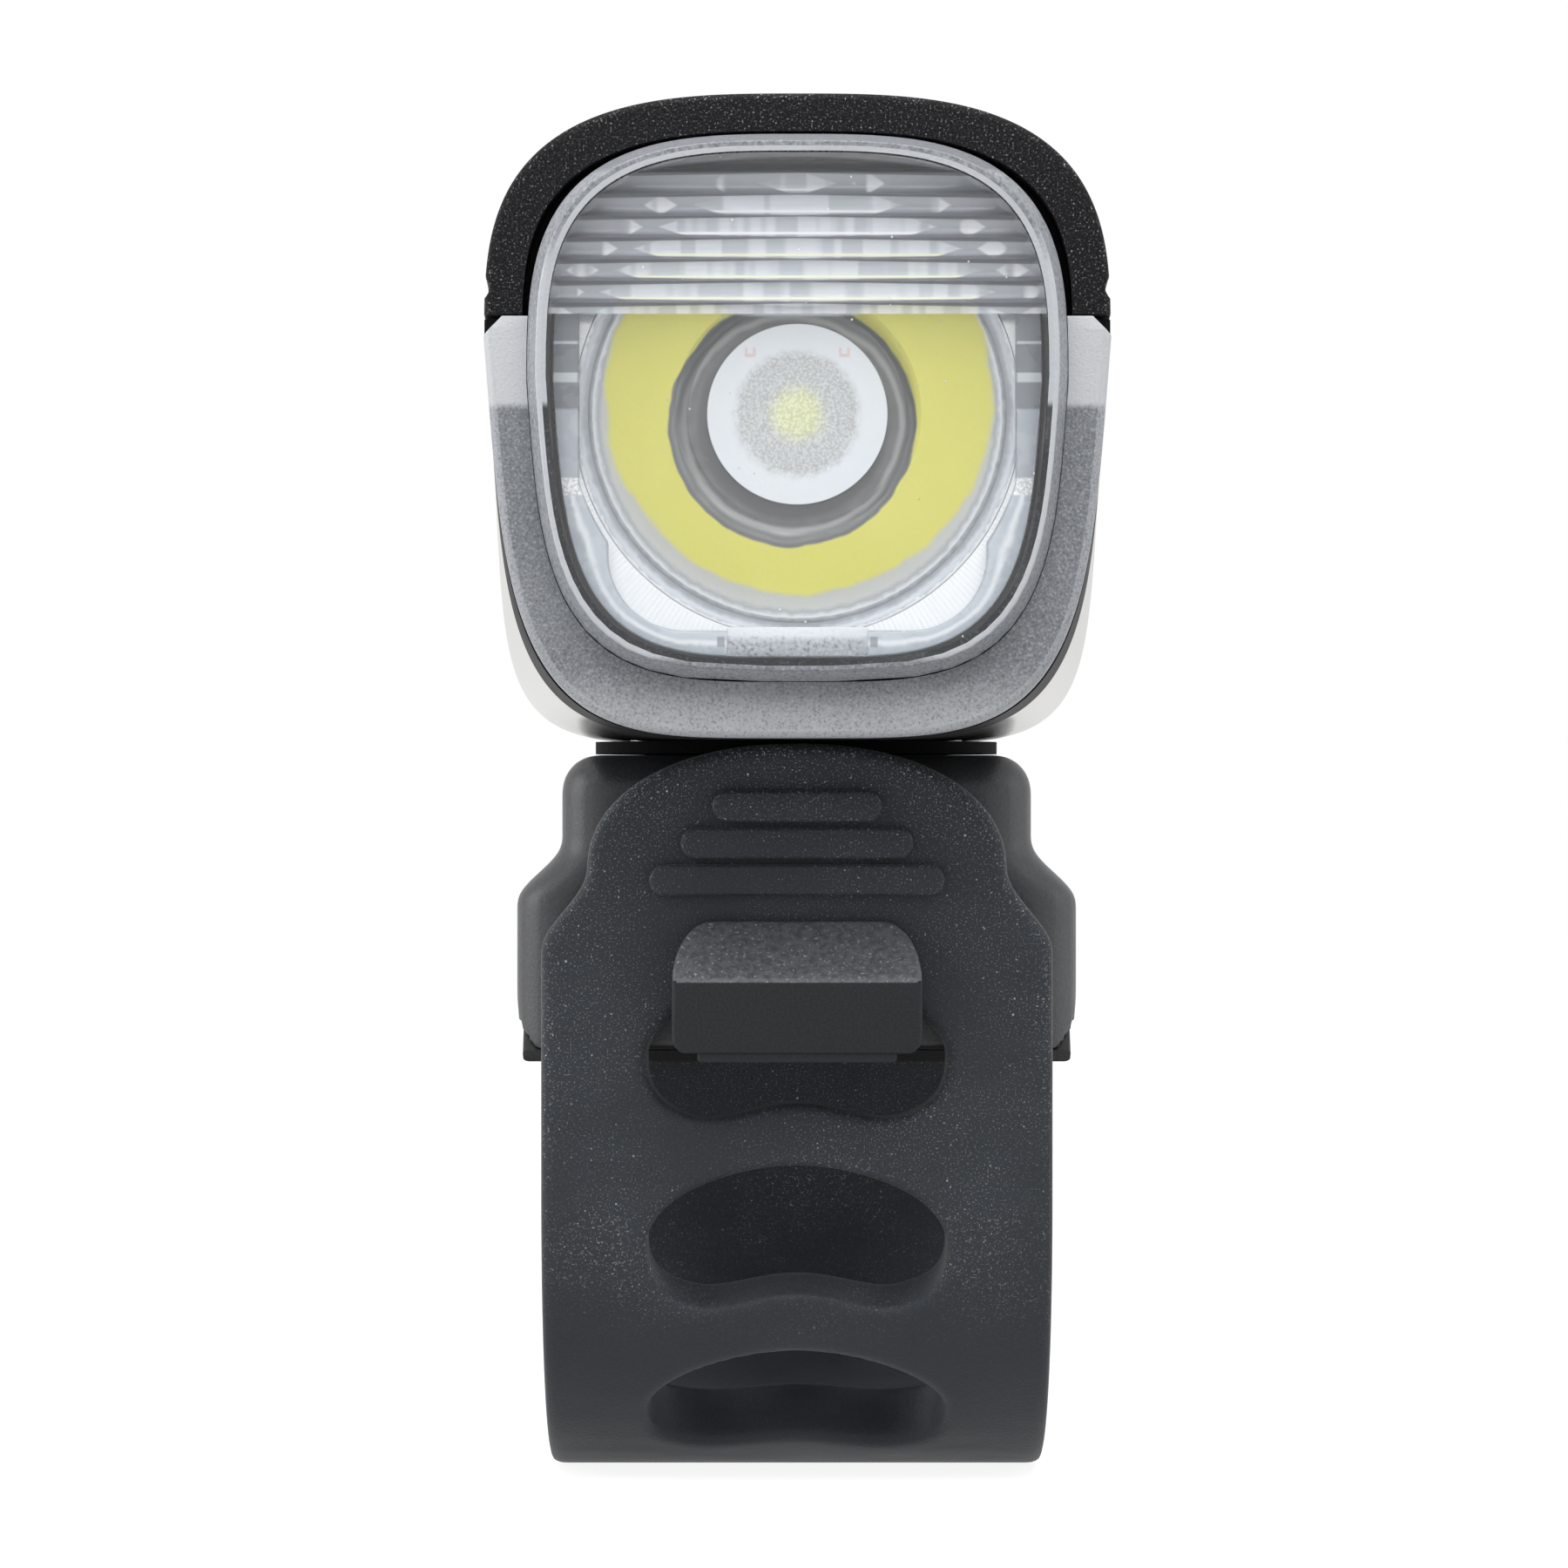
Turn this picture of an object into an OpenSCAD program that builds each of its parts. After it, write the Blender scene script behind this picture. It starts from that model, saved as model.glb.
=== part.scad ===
// Compact LED bicycle headlight on a rubber-strap handlebar mount, in millimetres.
// The origin is on the handlebar's axis, under the swivel. X runs along the bar, -Y is ahead, Z is up.

/* [Handlebar] */
// Diameter of the handlebar that the strap closes round
bar_d = 25.4; // [24:0.1:27]

/* [Saddle pad] */
// Thickness of the rubber pad
pad_t = 1.5; // [1.2:0.1:2]
// Length of the pad along the bar
pad_w = 30.2; // [29:0.1:33]
// Angle of the bar that the pad covers
pad_arc = 112; // [100:1:116]

/* [Bracket] */
// Thickness of the bracket between the pad and the swivel face
crown_t = 10; // [9:0.1:12]
// Width of the block under the lamp
block_w = 26; // [24:0.1:28]
// Rounding of the block's top edges
block_round = 2; // [1:0.1:2.5]
// Rounding of the block's upright corners
block_corner = 2.6; // [2:0.1:3.5]
// Width of the flared skirt over the pad
skirt_w = 31; // [29:0.1:34]
// Height of the skirt's shoulder over the top of the pad
flare_lift = 1.8; // [1:0.1:2.5]
// Height of the curve from the block out to the skirt
flare_h = 3.4; // [2.4:0.1:4]
// Height of the bracket's front face
apron_h = 16.2; // [15:0.1:16.5]
// Width of each lug that holds the strap's pin
lug_w = 3.3; // [2.5:0.1:4]

/* [Hook] */
// Width of the lip that the strap is buttoned over
hook_w = 13.4; // [11:0.1:15]
// Height of the lip
hook_h = 7; // [6:0.1:7.5]
// Thickness of the lip at its foot
hook_t = 3.8; // [3:0.1:4.5]
// Width of the post behind the lip
post_w = 9; // [7:0.1:9.5]
// Height of the post behind the lip
post_h = 3; // [2.5:0.1:3.2]

/* [Strap] */
// Width of the strap
strap_w = 27.8; // [26:0.1:30]
// Thickness of the strap
strap_t = 3.5; // [3:0.1:4]
// Width of the pull tongue
tongue_w = 22.8; // [20:0.1:24]
// Height of the tongue's round end
tongue_round = 6.8; // [6:0.1:8]
// Height of the shoulders between the tongue and the full width
shoulder_h = 4.5; // [3.5:0.1:5]
// Width of a buttonhole
slot_w = 16.2; // [15:0.1:18]
// Rise of a buttonhole above its ends
slot_rise = 3.9; // [3.6:0.1:4.2]
// Drop of a buttonhole below its ends
slot_drop = 3.9; // [3.4:0.1:4]
// Height of the swelling in the buttonhole's lower edge
slot_swell = 1.2; // [0.6:0.1:1.4]
// Distance between buttonholes along the strap
slot_pitch = 10; // [9.5:0.1:11]
// Number of buttonholes
slot_count = 3; // [2:1:3]
// Number of raised grip ribs on the tongue
grip_count = 3; // [2:1:3]
// Height of one grip rib
grip_h = 1.7; // [1.2:0.1:1.8]
// How far a grip rib stands out
grip_proud = 0.7; // [0.4:0.1:1]
// Distance between grip ribs
grip_pitch = 2; // [1.9:0.1:2.2]
// Length of the top grip rib
grip_w = 9.2; // [7:0.1:10]
// Growth of each grip rib over the one above
grip_step = 3.4; // [2:0.1:4]
// Width of the strap's rear end between the lugs
tail_w = 18; // [16:0.1:19]
// Thickness of rubber round the strap's pin
eyelet_t = 1.65; // [1.4:0.05:1.8]
// Diameter of the strap's pin
pin_d = 2.5; // [2:0.1:2.8]

/* [Swivel] */
// Diameter of the turning foot under the lamp
foot_d = 23; // [22:0.1:24]
// Thickness of the turning foot
foot_t = 0.7; // [0.7:0.05:1.5]
// Diameter of the foot's pivot
pivot_d = 9; // [8:0.1:10]
// Length of the bore that the pivot turns in
pivot_len = 5.75; // [5:0.05:6.5]
// Diameter of the pivot screw
pivot_screw_d = 2.9; // [2.5:0.1:3.5]
// Diameter of the washer under the pivot
washer_d = 11.2; // [10.5:0.1:12]
// Thickness of the washer under the pivot
washer_t = 0.5; // [0.4:0.05:0.7]

/* [Optic] */
// Diameter of the collimator's front rim
optic_d = 23.5; // [22:0.1:25]
// Length of the collimator
optic_len = 12; // [11:0.1:13]
// Space between the collimator and the lens wall beside it
optic_margin = 1.3; // [1.1:0.05:1.7]
// Space between the collimator and the lens wall over it
optic_brow = 1.63; // [1.3:0.01:2.2]
// Diameter of the well in the collimator's face
well_d = 13; // [11:0.1:14]
// Diameter of the small lens in the well
core_d = 9.5; // [8:0.1:10]

/* [Lens] */
// Thickness of the clear lens
lens_t = 1.05; // [0.95:0.05:1.4]
// Depth of the lens from its face to its rear rim
lens_depth = 5.2; // [5:0.1:6]
// How far the lens stands out of the side window
lens_proud = 1.5; // [1:0.1:2]
// Slope of the lens's edge, measured across its face
lens_bevel = 0.65; // [0.4:0.05:0.9]
// Number of spreading ribs across the top of the lens
rib_count = 7; // [5:1:8]
// Distance between the spreading ribs
rib_pitch = 1.13; // [0.95:0.01:1.18]
// Width of the frosted side window below the lens
window_w = 2.95; // [2.8:0.05:3.5]
// Thickness of the frosted side window
window_t = 2.1; // [1.8:0.1:2.5]
// Bevel round the side window's front edge
window_bevel = 0.45; // [0.2:0.05:0.6]

/* [Housing] */
// Distance from the swivel's axis forward to the lens's face
front_reach = 28; // [26:0.1:30]
// Length of the housing from the hood's edge to the rear seal
case_len = 87.5; // [87:0.1:95]
// Wall thickness of the housing
wall_t = 2; // [1.8:0.1:2.2]
// Swelling of the housing's sides at mid-length
belly = 1.1; // [0:0.1:1.5]
// Swelling of the housing's top at mid-length
crown_rise = 0.35; // [0:0.05:0.6]
// How far the sides draw in at the rear
tail_in = 1.8; // [1:0.1:2]
// How far the top drops at the rear
tail_drop = 2; // [1.5:0.1:2.2]
// How far the bottom lifts at the rear
tail_lift = 0.8; // [0:0.1:1]

/* [Battery] */
// Diameter of the cell
cell_d = 18.4; // [18:0.1:18.6]
// Space between the cell and the rear end of the housing
cell_room = 1; // [0.6:0.1:1.5]
// Thickness of the cradle under the cell
cradle_t = 1.7; // [1.6:0.1:2]

/* [Electronics] */
// Thickness of both circuit boards
board_t = 1.6; // [1.2:0.1:1.8]
// Width of the driver board
board_w = 16; // [14:0.1:17]
// Diameter of the round board behind the emitter
led_board_d = 15; // [14:0.1:16]
// Thickness of the heat sink
sink_t = 4.4; // [4:0.1:4.8]

/* [Button] */
// Diameter of the power button
button_d = 10.8; // [9:0.1:12]
// Travel of the power button
button_travel = 0.8; // [0.5:0.05:0.9]
// Distance of the button behind the swivel's axis
button_y = 16; // [14:0.1:20]

/* [Charging port] */
// Width of the flap over the port
flap_w = 12.6; // [12:0.1:14]
// Height of the flap over the port
flap_h = 6.6; // [6.5:0.05:6.8]
// Thickness of the flap
flap_t = 1; // [0.9:0.05:1.1]

/* [Fits] */
// Clearance of parts that turn or slide
fit = 0.1; // [0.05:0.01:0.12]
// Clearance of parts that stay put
seat = 0.03; // [0.02:0.01:0.05]

/* [Hidden] */
$fn = 64;
// Points round a housing section, a multiple of four
ring_n = 52;
// Sections along the housing
case_rings = 10;
// More than any part reaches, for cuts that run right through
far = 200;
// Overshoot of a cut past the face it opens
over = 1;

// Heights of the mount
bar_r = bar_d / 2;
saddle_r = bar_r + pad_t + seat;
bracket_z = bar_r + pad_t + crown_t;
apron_z = bracket_z - apron_h;
foot_z = bracket_z + fit;
case_z0 = foot_z + foot_t;

// Strap: inner face, outer face and the line at mid-thickness
strap_in = bar_r;
strap_out = strap_in + strap_t;
strap_mid = strap_in + strap_t / 2;
strap_gap = 0.3;
block_y = strap_in - strap_gap;
tongue_gap = 0.2;
tongue_z = case_z0 - tongue_gap;
grip_drop = 3.4;
strap_edge = 0.5;
// The pin sits high enough for its eyelet to clear the pad
eyelet_r = pin_d / 2 + eyelet_t;
pin_y = strap_mid;
pin_drop = 10.2;
pin_z = bracket_z - pin_drop;
slot_z = apron_z;
slot_top_power = 1.8;
slot_foot_power = 3;
tail_taper_h = 7;

// Heights of the lamp
lens_z0 = case_z0 + window_w;
optic_r = optic_d / 2;
optic_z = lens_z0 + lens_t + optic_margin + optic_r;
lens_z1 = optic_z + optic_r + optic_brow + lens_t;
lens_hw = optic_r + optic_margin + lens_t;
lens_waist = optic_z + 1.45;
hood_gap = 0.3;
case_hw = lens_hw + hood_gap + wall_t;
case_z1 = lens_z1 + hood_gap + wall_t;
case_waist = optic_z + 3.95;
parting_z = optic_z + 5.05;

// Roundness of the outlines: higher powers are squarer
hood_power = 3.05;
chin_power = 4.3;
belly_power = 6.5;
chin_taper = 0.1;
belly_taper = 0;
lens_top_power = 3.2;
lens_foot_power = 3.8;
lens_taper = 0.08;

// Places along the lamp, front to rear
lens_y0 = -front_reach;
lens_y1 = lens_y0 + lens_depth;
window_y0 = lens_y0 + lens_proud;
window_y1 = window_y0 + window_t;
hood_set = 1;
hood_y = window_y0 + hood_set;
gasket_t = 0.5;
gasket_y = lens_y1 + gasket_t;
ledge_w = 1;
ledge_t = 2.3;
frame_y = gasket_y + ledge_t;
optic_gap = 2.45;
optic_y0 = lens_y0 + lens_t + optic_gap;
optic_y1 = optic_y0 + optic_len;
emitter_gap = 0.4;
emitter_w = 3.5;
emitter_t = 0.7;
dome_r = 1.6;
led_y = optic_y1 + emitter_gap + emitter_t;
sink_y0 = led_y + board_t;
sink_y1 = sink_y0 + sink_t;
case_y1 = hood_y + case_len;
seal_t = 0.4;
cap_y0 = case_y1 + seal_t;
cap_t = 3.2;
cap_y1 = cap_y0 + cap_t;
cap_lip = 2;
lip_t = 1;

// Battery and boards
cell_r = cell_d / 2;
cell_z = case_z0 + wall_t + cradle_t + cell_r;
nub_t = 1;
nub_r = 2.8;
tab_t = 0.2;
tab_w = 5;
cell_y0 = sink_y1 + tab_t + nub_t + tab_t;
cell_y1 = case_y1 - cell_room;
foam_t = 1;
board_z0 = cell_z + cell_r + foam_t;
board_z1 = board_z0 + board_t;
board_y0 = sink_y1 + fit;
board_y1 = cell_y1 + tab_t;

// Button stack, from the switch up
switch_h = 1.8;
plunger_h = 0.8;
plunger_r = 1.3;
switch_z = board_z1 + switch_h + plunger_h;
button_r = button_d / 2;
stem_z = switch_z + button_travel + fit;
stem_r = 1.5;
button_flange_w = 1;
button_flange_t = 1.1;
button_proud = 0.6;
button_edge = 0.5;
boss_t = 1.3;
boss_z = case_z1 - wall_t - boss_t;
button_z = case_z1 + button_proud;

// Charging socket, flap and their opening
socket_w = 8.9;
socket_h = 3.2;
socket_len = 7.4;
port_z = board_z1 + socket_h / 2;
port_w = 10;
port_h = 4.8;
flap_z = port_z - 3.6;
flap_gap = 0.15;
plug_h = 4;
plug_t = 1.2;

// Screws: shank radius, head radius and head height, and where each group sits
screw_r = 0.78;
screw_head_r = 1.2;
screw_head_t = 1.1;
frame_screw_x = 7;
frame_screw_z = case_z0 + window_w / 2 + 0.1;
frame_screw_len = 7;
cap_head_r = 1.55;
cap_screw_len = 8;
cap_screw_low = [10, case_z0 + 6.6];
cap_screw_high = [11.2, board_z1];
boss_r = 1.7;
boss_len = 10;
foot_screw_x = 8.5;
foot_screw_r = 1;
foot_head_r = 1.7;
foot_head_t = 0.6;
foot_screw_len = 5;
foot_boss_r = 2.1;
foot_boss_h = 5.4;
led_screw_x = 5.2;
pilot_r = 0.9;

function mix(a, b, t) = a + (b - a) * t;
function ease(t) = t * t * (3 - 2 * t);
function sgn_pow(v, p) = sign(v) * pow(abs(v), p);
// Height of a superellipse arch of half-width w, rise h and power n, at x
function arch(x, w, h, n) = h * pow(max(0, 1 - pow(abs(x) / w, n)), 1 / n);
// Points of a circular arc
function arc(cx, cy, r, from, to, steps = 8) = [
    for (i = [0 : steps])
        let (a = mix(from, to, i / steps))
        [cx + r * cos(a), cy + r * sin(a)]
];

// Closed outline of half-width w at height zm, with its own power above and below,
// drawn in toward the bottom by the share k
function shield(w, zm, z1, n1, z0, n0, k) = [
    for (i = [0 : ring_n - 1])
        let (
            a = 360 * i / ring_n,
            up = i <= ring_n / 2,
            n = up ? n1 : n0,
            v = sgn_pow(sin(a), 2 / n),
            narrow = up ? 1 : 1 + k * v
        )
        [w * narrow * sgn_pow(cos(a), 2 / n), zm + v * (up ? z1 - zm : zm - z0)]
];

function lens_outline(inset) = shield(
    lens_hw - inset, lens_waist, lens_z1 - inset, lens_top_power, lens_z0 + inset, lens_foot_power, lens_taper
);

// Housing outline at y: swollen at mid-length, drawn in at the rear
function case_outline(y, inset) =
    let (
        t = (y - hood_y) / case_len,
        bow = sin(180 * t)
    )
    shield(
        case_hw + belly * bow - tail_in * pow(t, 4) - inset,
        case_waist,
        case_z1 + crown_rise * bow - tail_drop * pow(t, 3) - inset,
        hood_power,
        case_z0 + tail_lift * pow(t, 6) + inset,
        mix(chin_power, belly_power, bow),
        mix(chin_taper, belly_taper, bow)
    );

function ring(outline, y) = [for (p = outline) [p[0], y, p[1]]];

// Closed skin over rings that follow each other, each clockwise as seen from the end it leads to
module skin(rings) {
    n = len(rings[0]);
    last = (len(rings) - 1) * n;
    sides = [
        for (j = [0 : len(rings) - 2])
            for (i = [0 : n - 1])
                let (
                    a = j * n + i,
                    b = j * n + (i + 1) % n
                )
                each [[a, b, a + n], [b, b + n, a + n]]
    ];
    front = [for (i = [n - 1 : -1 : 0]) i];
    rear = [for (i = [0 : n - 1]) last + i];
    polyhedron([for (r = rings) each r], concat(sides, [front, rear]));
}

module case_solid(inset, y0, y1, steps = case_rings) {
    skin([
        for (i = [0 : steps - 1])
            let (y = mix(y0, y1, i / (steps - 1)))
            ring(case_outline(y, inset), y)
    ]);
}

module along_y(y0, y1)
    translate([0, y1, 0])
        rotate([90, 0, 0])
            linear_extrude(y1 - y0)
                children();

module along_x(w)
    rotate([90, 0, 90])
        translate([0, 0, -w / 2])
            linear_extrude(w)
                children();

module rod_y(r, y0, y1, x = 0, z = 0)
    translate([x, y1, z])
        rotate([90, 0, 0])
            cylinder(r = r, h = y1 - y0);

module rod_z(r, z0, z1, x = 0, y = 0)
    translate([x, y, z0])
        cylinder(r = r, h = z1 - z0);

module rod_x(r, w, y, z)
    translate([-w / 2, y, z])
        rotate([0, 90, 0])
            cylinder(r = r, h = w);

module block(w, y0, y1, z0, z1)
    translate([-w / 2, y0, z0])
        cube([w, y1 - y0, z1 - z0]);

module above(z) block(far, -far, far, z, z + far);
module below(z) block(far, -far, far, z - far, z);

module both_sides() {
    children();
    mirror([1, 0, 0]) children();
}

// Turns a profile of [radius, x] about the bar's axis; 0 is straight down and 90 is the rear
module about_bar(from, to)
    rotate([0, 90, 0])
        rotate([0, 0, from])
            rotate_extrude(angle = to - from)
                children();

// Turns a profile of [radius, distance from the optic's face] about the beam's axis
module about_beam(y0)
    translate([0, y0, optic_z])
        rotate([-90, 0, 0])
            rotate_extrude()
                children();

// Clear lens: a shallow cup with spreading ribs inside the top of its face
module front_lens() color("#dfe6ee", 0.5) {
    edge = 0.15;
    rib_r = rib_pitch * 0.55;
    brow_gap = 0.47;
    rib_lap = 0.2;
    rib_top = lens_z1 - lens_t - brow_gap;
    face_y = lens_y0 + lens_t;
    difference() {
        skin([
            ring(lens_outline(lens_bevel + edge), lens_y0),
            ring(lens_outline(lens_bevel), lens_y0 + edge),
            ring(lens_outline(0), window_y0),
            ring(lens_outline(0), lens_y1)
        ]);
        along_y(face_y, lens_y1 + over) polygon(lens_outline(lens_t));
    }
    intersection() {
        along_y(face_y - rib_r, face_y + rib_r) polygon(lens_outline(lens_t - rib_lap));
        for (i = [0 : rib_count - 1]) rod_x(rib_r, lens_hw * 2, face_y, rib_top - i * rib_pitch);
    }
}

// Frosted U round the lens's sides and chin
module side_window() color("#b4bac2") {
    ear_chamfer = 1;
    top_z = parting_z - fit;
    difference() {
        skin([
            ring(case_outline(hood_y, window_bevel), window_y0),
            ring(case_outline(hood_y, window_bevel / 4), window_y0 + window_bevel * 0.7),
            ring(case_outline(hood_y, 0), window_y0 + window_bevel * 1.4),
            ring(case_outline(hood_y, 0), window_y1)
        ]);
        along_y(window_y0 - over, window_y1 + over) {
            polygon(lens_outline(-seat));
            polygon([
                [-case_hw - over, top_z - ear_chamfer - over],
                [-case_hw + ear_chamfer, top_z],
                [case_hw - ear_chamfer, top_z],
                [case_hw + over, top_z - ear_chamfer - over],
                [case_hw + over, far],
                [-case_hw - over, far]
            ]);
        }
    }
}

module lens_gasket() color("#1b1b1c")
    along_y(lens_y1, gasket_y)
        difference() {
            polygon(lens_outline(0));
            polygon(lens_outline(ledge_w));
        }

// Black bezel that the lens and the side window seat on, and that the hood slips over
module front_frame() color("#1d1e20")
    difference() {
        union() {
            intersection() {
                case_solid(0, window_y1, frame_y, 3);
                below(parting_z - fit);
            }
            along_y(gasket_y, frame_y) polygon(case_outline(gasket_y, wall_t + seat));
        }
        along_y(window_y1 - over, gasket_y) polygon(lens_outline(-seat));
        along_y(gasket_y - over, frame_y + over) polygon(lens_outline(ledge_w));
        both_sides() {
            rod_y(pilot_r, window_y1 - over, frame_y + over, frame_screw_x, frame_screw_z);
            rod_y(
                screw_head_r + fit, window_y1 - over, window_y1 + screw_head_t + fit,
                frame_screw_x, frame_screw_z
            );
        }
    }

module screw_y(head_y, x, z, head_r, head_t, length) {
    rod_y(head_r, head_y, head_y + head_t, x, z);
    rod_y(screw_r, head_y + head_t, head_y + head_t + length, x, z);
}

module frame_screws() color("silver")
    both_sides()
        screw_y(window_y1 + fit, frame_screw_x, frame_screw_z, screw_head_r, screw_head_t, frame_screw_len);

// Light tray round the collimator, on a tube that stands on the heat sink
module optic_holder() color("#d9dde2") {
    tray_inset = lens_t + 0.25;
    rim_w = 1.7;
    rim_h = 1.2;
    tab_len = 7.5;
    tab_proud = 0.15;
    rim_t = 1;
    step_w = 0.85;
    tube_t = 0.8;
    tray_y = optic_y0 + 0.3;
    step_y = optic_y0 + rim_t + seat;
    tray_end = step_y + 1.2;
    tube_r = optic_r + 0.25;
    difference() {
        union() {
            along_y(tray_y, tray_end) polygon(lens_outline(tray_inset));
            intersection() {
                along_y(tray_y - rim_h, tray_y)
                    difference() {
                        polygon(lens_outline(tray_inset));
                        polygon(lens_outline(tray_inset + rim_w));
                    }
                below(case_waist);
            }
            block(
                tab_len, tray_y - rim_h - tab_proud, tray_y,
                lens_z0 + tray_inset + tab_proud, lens_z0 + tray_inset + rim_w
            );
            rod_y(tube_r + tube_t, tray_end, sink_y0, 0, optic_z);
        }
        rod_y(optic_r + fit, optic_y0 - far, step_y, 0, optic_z);
        rod_y(optic_r - step_w, optic_y0, tray_end + over, 0, optic_z);
        rod_y(tube_r, tray_end, sink_y0 + over, 0, optic_z);
        block(tab_len, tray_end + over, sink_y0 + over, optic_z + led_board_d / 3, optic_z + far);
    }
}

// Moulded collimator: rim, parabolic wall, well with a small lens in front, hollow for the emitter behind
module tir_optic() color("#dfe3c4", 0.7) {
    rim_t = 1;
    wall_r = optic_r - 0.95;
    throat_r = 4.6;
    well_depth = 4.4;
    core_set = 3;
    core_bulge = 0.8;
    well_draft = 0.9;
    hollow_r = 2.6;
    hollow_depth = 3.4;
    wall_steps = 10;
    core_steps = 6;
    core_r = core_d / 2;
    about_beam(optic_y0)
        polygon(concat(
            [
                for (i = [0 : core_steps])
                    let (u = i / core_steps)
                    [core_r * u, core_set + core_bulge * u * u]
            ],
            [
                [core_r, well_depth],
                [well_d / 2 - well_draft, well_depth],
                [well_d / 2, 0],
                [optic_r, 0],
                [optic_r, rim_t]
            ],
            [
                for (i = [0 : wall_steps])
                    let (u = i / wall_steps)
                    [mix(wall_r, throat_r, u * u), mix(rim_t, optic_len, sin(90 * u))]
            ],
            [
                [hollow_r, optic_len],
                [hollow_r * 0.9, optic_len - hollow_depth],
                [0, optic_len - hollow_depth - 0.4]
            ]
        ));
}

module led_emitter() color("#e9d65a") {
    translate([-emitter_w / 2, led_y - emitter_t, optic_z - emitter_w / 2])
        cube([emitter_w, emitter_t, emitter_w]);
    intersection() {
        translate([0, led_y - emitter_t, optic_z]) sphere(r = dome_r);
        block(far, led_y - far, led_y - emitter_t / 2, optic_z - far, optic_z + far);
    }
}

module led_board() color("#eeeeee")
    difference() {
        rod_y(led_board_d / 2, led_y, sink_y0, 0, optic_z);
        both_sides() rod_y(pilot_r, led_y - over, sink_y0 + over, led_screw_x, optic_z);
    }

module led_board_screws() color("silver")
    both_sides()
        screw_y(led_y - screw_head_t, led_screw_x, optic_z, screw_head_r, screw_head_t, board_t + sink_t - 1);

// Two wires from the driver board over the heat sink to the round board
module led_leads() color("#b03030") {
    lead_r = 0.45;
    lead_x = 2.5;
    lead_lap = 3;
    pad_inset = 2.2;
    lead_z = board_z1 + lead_r;
    pad_z = optic_z + led_board_d / 2 - pad_inset;
    front_y = led_y - lead_r - seat;
    both_sides() {
        rod_y(lead_r, front_y, board_y0 + lead_lap, lead_x, lead_z);
        translate([lead_x, front_y, lead_z]) sphere(r = lead_r);
        rod_z(lead_r, pad_z, lead_z, lead_x, front_y);
    }
}

module heat_sink() color("#c8cacc") {
    top_z = min(board_z1 - fit * 3, optic_z + led_board_d / 2);
    difference() {
        along_y(sink_y0, sink_y1) polygon(case_outline(sink_y0, wall_t + fit));
        above(top_z);
        both_sides() rod_y(pilot_r, sink_y0 - over, sink_y1 + over, led_screw_x, optic_z);
    }
}

// Places of the rear screws: two in the lower shell, two in the cover
module at_cap_screws(low, high)
    both_sides() {
        if (low) translate([cap_screw_low[0], 0, cap_screw_low[1]]) children();
        if (high) translate([cap_screw_high[0], 0, cap_screw_high[1]]) children();
    }

// Black cover: hood over the lens, button guide, and bosses for the rear screws
module top_cover() color("#313133") {
    groove_r = 0.6;
    groove_z = parting_z + 1.5;
    groove_len = 8;
    guide_r = button_r + button_flange_w + 1.2;
    difference() {
        union() {
            difference() {
                case_solid(0, hood_y, case_y1);
                case_solid(wall_t, hood_y - over, case_y1 + over);
                below(parting_z + fit);
            }
            rod_z(guide_r, boss_z, boss_z + boss_t + wall_t / 2, 0, button_y);
            at_cap_screws(false, true) rod_y(boss_r, case_y1 - boss_len, case_y1);
        }
        rod_z(button_r + fit, boss_z - over, far, 0, button_y);
        indicator_shape(seat, far);
        at_cap_screws(false, true) rod_y(screw_r + seat, case_y1 - boss_len - over, case_y1 + over);
        both_sides() rod_y(groove_r, hood_y - over, hood_y + groove_len, case_hw + groove_r / 2, groove_z);
    }
}

// Bare aluminium shell: floor with the swivel's seat, and bosses for the front, rear and foot screws
module lower_shell() color("#d6d6d4") {
    pad_r = foot_d / 2 + 0.3;
    difference() {
        union() {
            difference() {
                case_solid(0, frame_y, case_y1);
                case_solid(wall_t, frame_y - over, case_y1 + over);
                above(parting_z - fit);
            }
            rod_z(pad_r, case_z0, case_z0 + wall_t);
            both_sides() {
                rod_y(screw_head_r + fit, frame_y, frame_y + frame_screw_len, frame_screw_x, frame_screw_z);
                rod_z(foot_boss_r, case_z0, case_z0 + foot_boss_h, foot_screw_x, 0);
            }
            at_cap_screws(true, false) rod_y(boss_r, case_y1 - boss_len, case_y1);
        }
        both_sides() {
            rod_y(screw_r + seat, frame_y - over, frame_y + frame_screw_len, frame_screw_x, frame_screw_z);
            rod_z(foot_screw_r + seat, case_z0 - over, case_z0 + foot_boss_h - seat, foot_screw_x, 0);
        }
        at_cap_screws(true, false) rod_y(screw_r + seat, case_y1 - boss_len - over, case_y1 + over);
    }
}

module rear_gasket() color("#1b1b1c")
    along_y(case_y1, cap_y0)
        difference() {
            polygon(case_outline(case_y1, wall_t / 4));
            polygon(case_outline(case_y1, wall_t * 3 / 4));
        }

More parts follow.
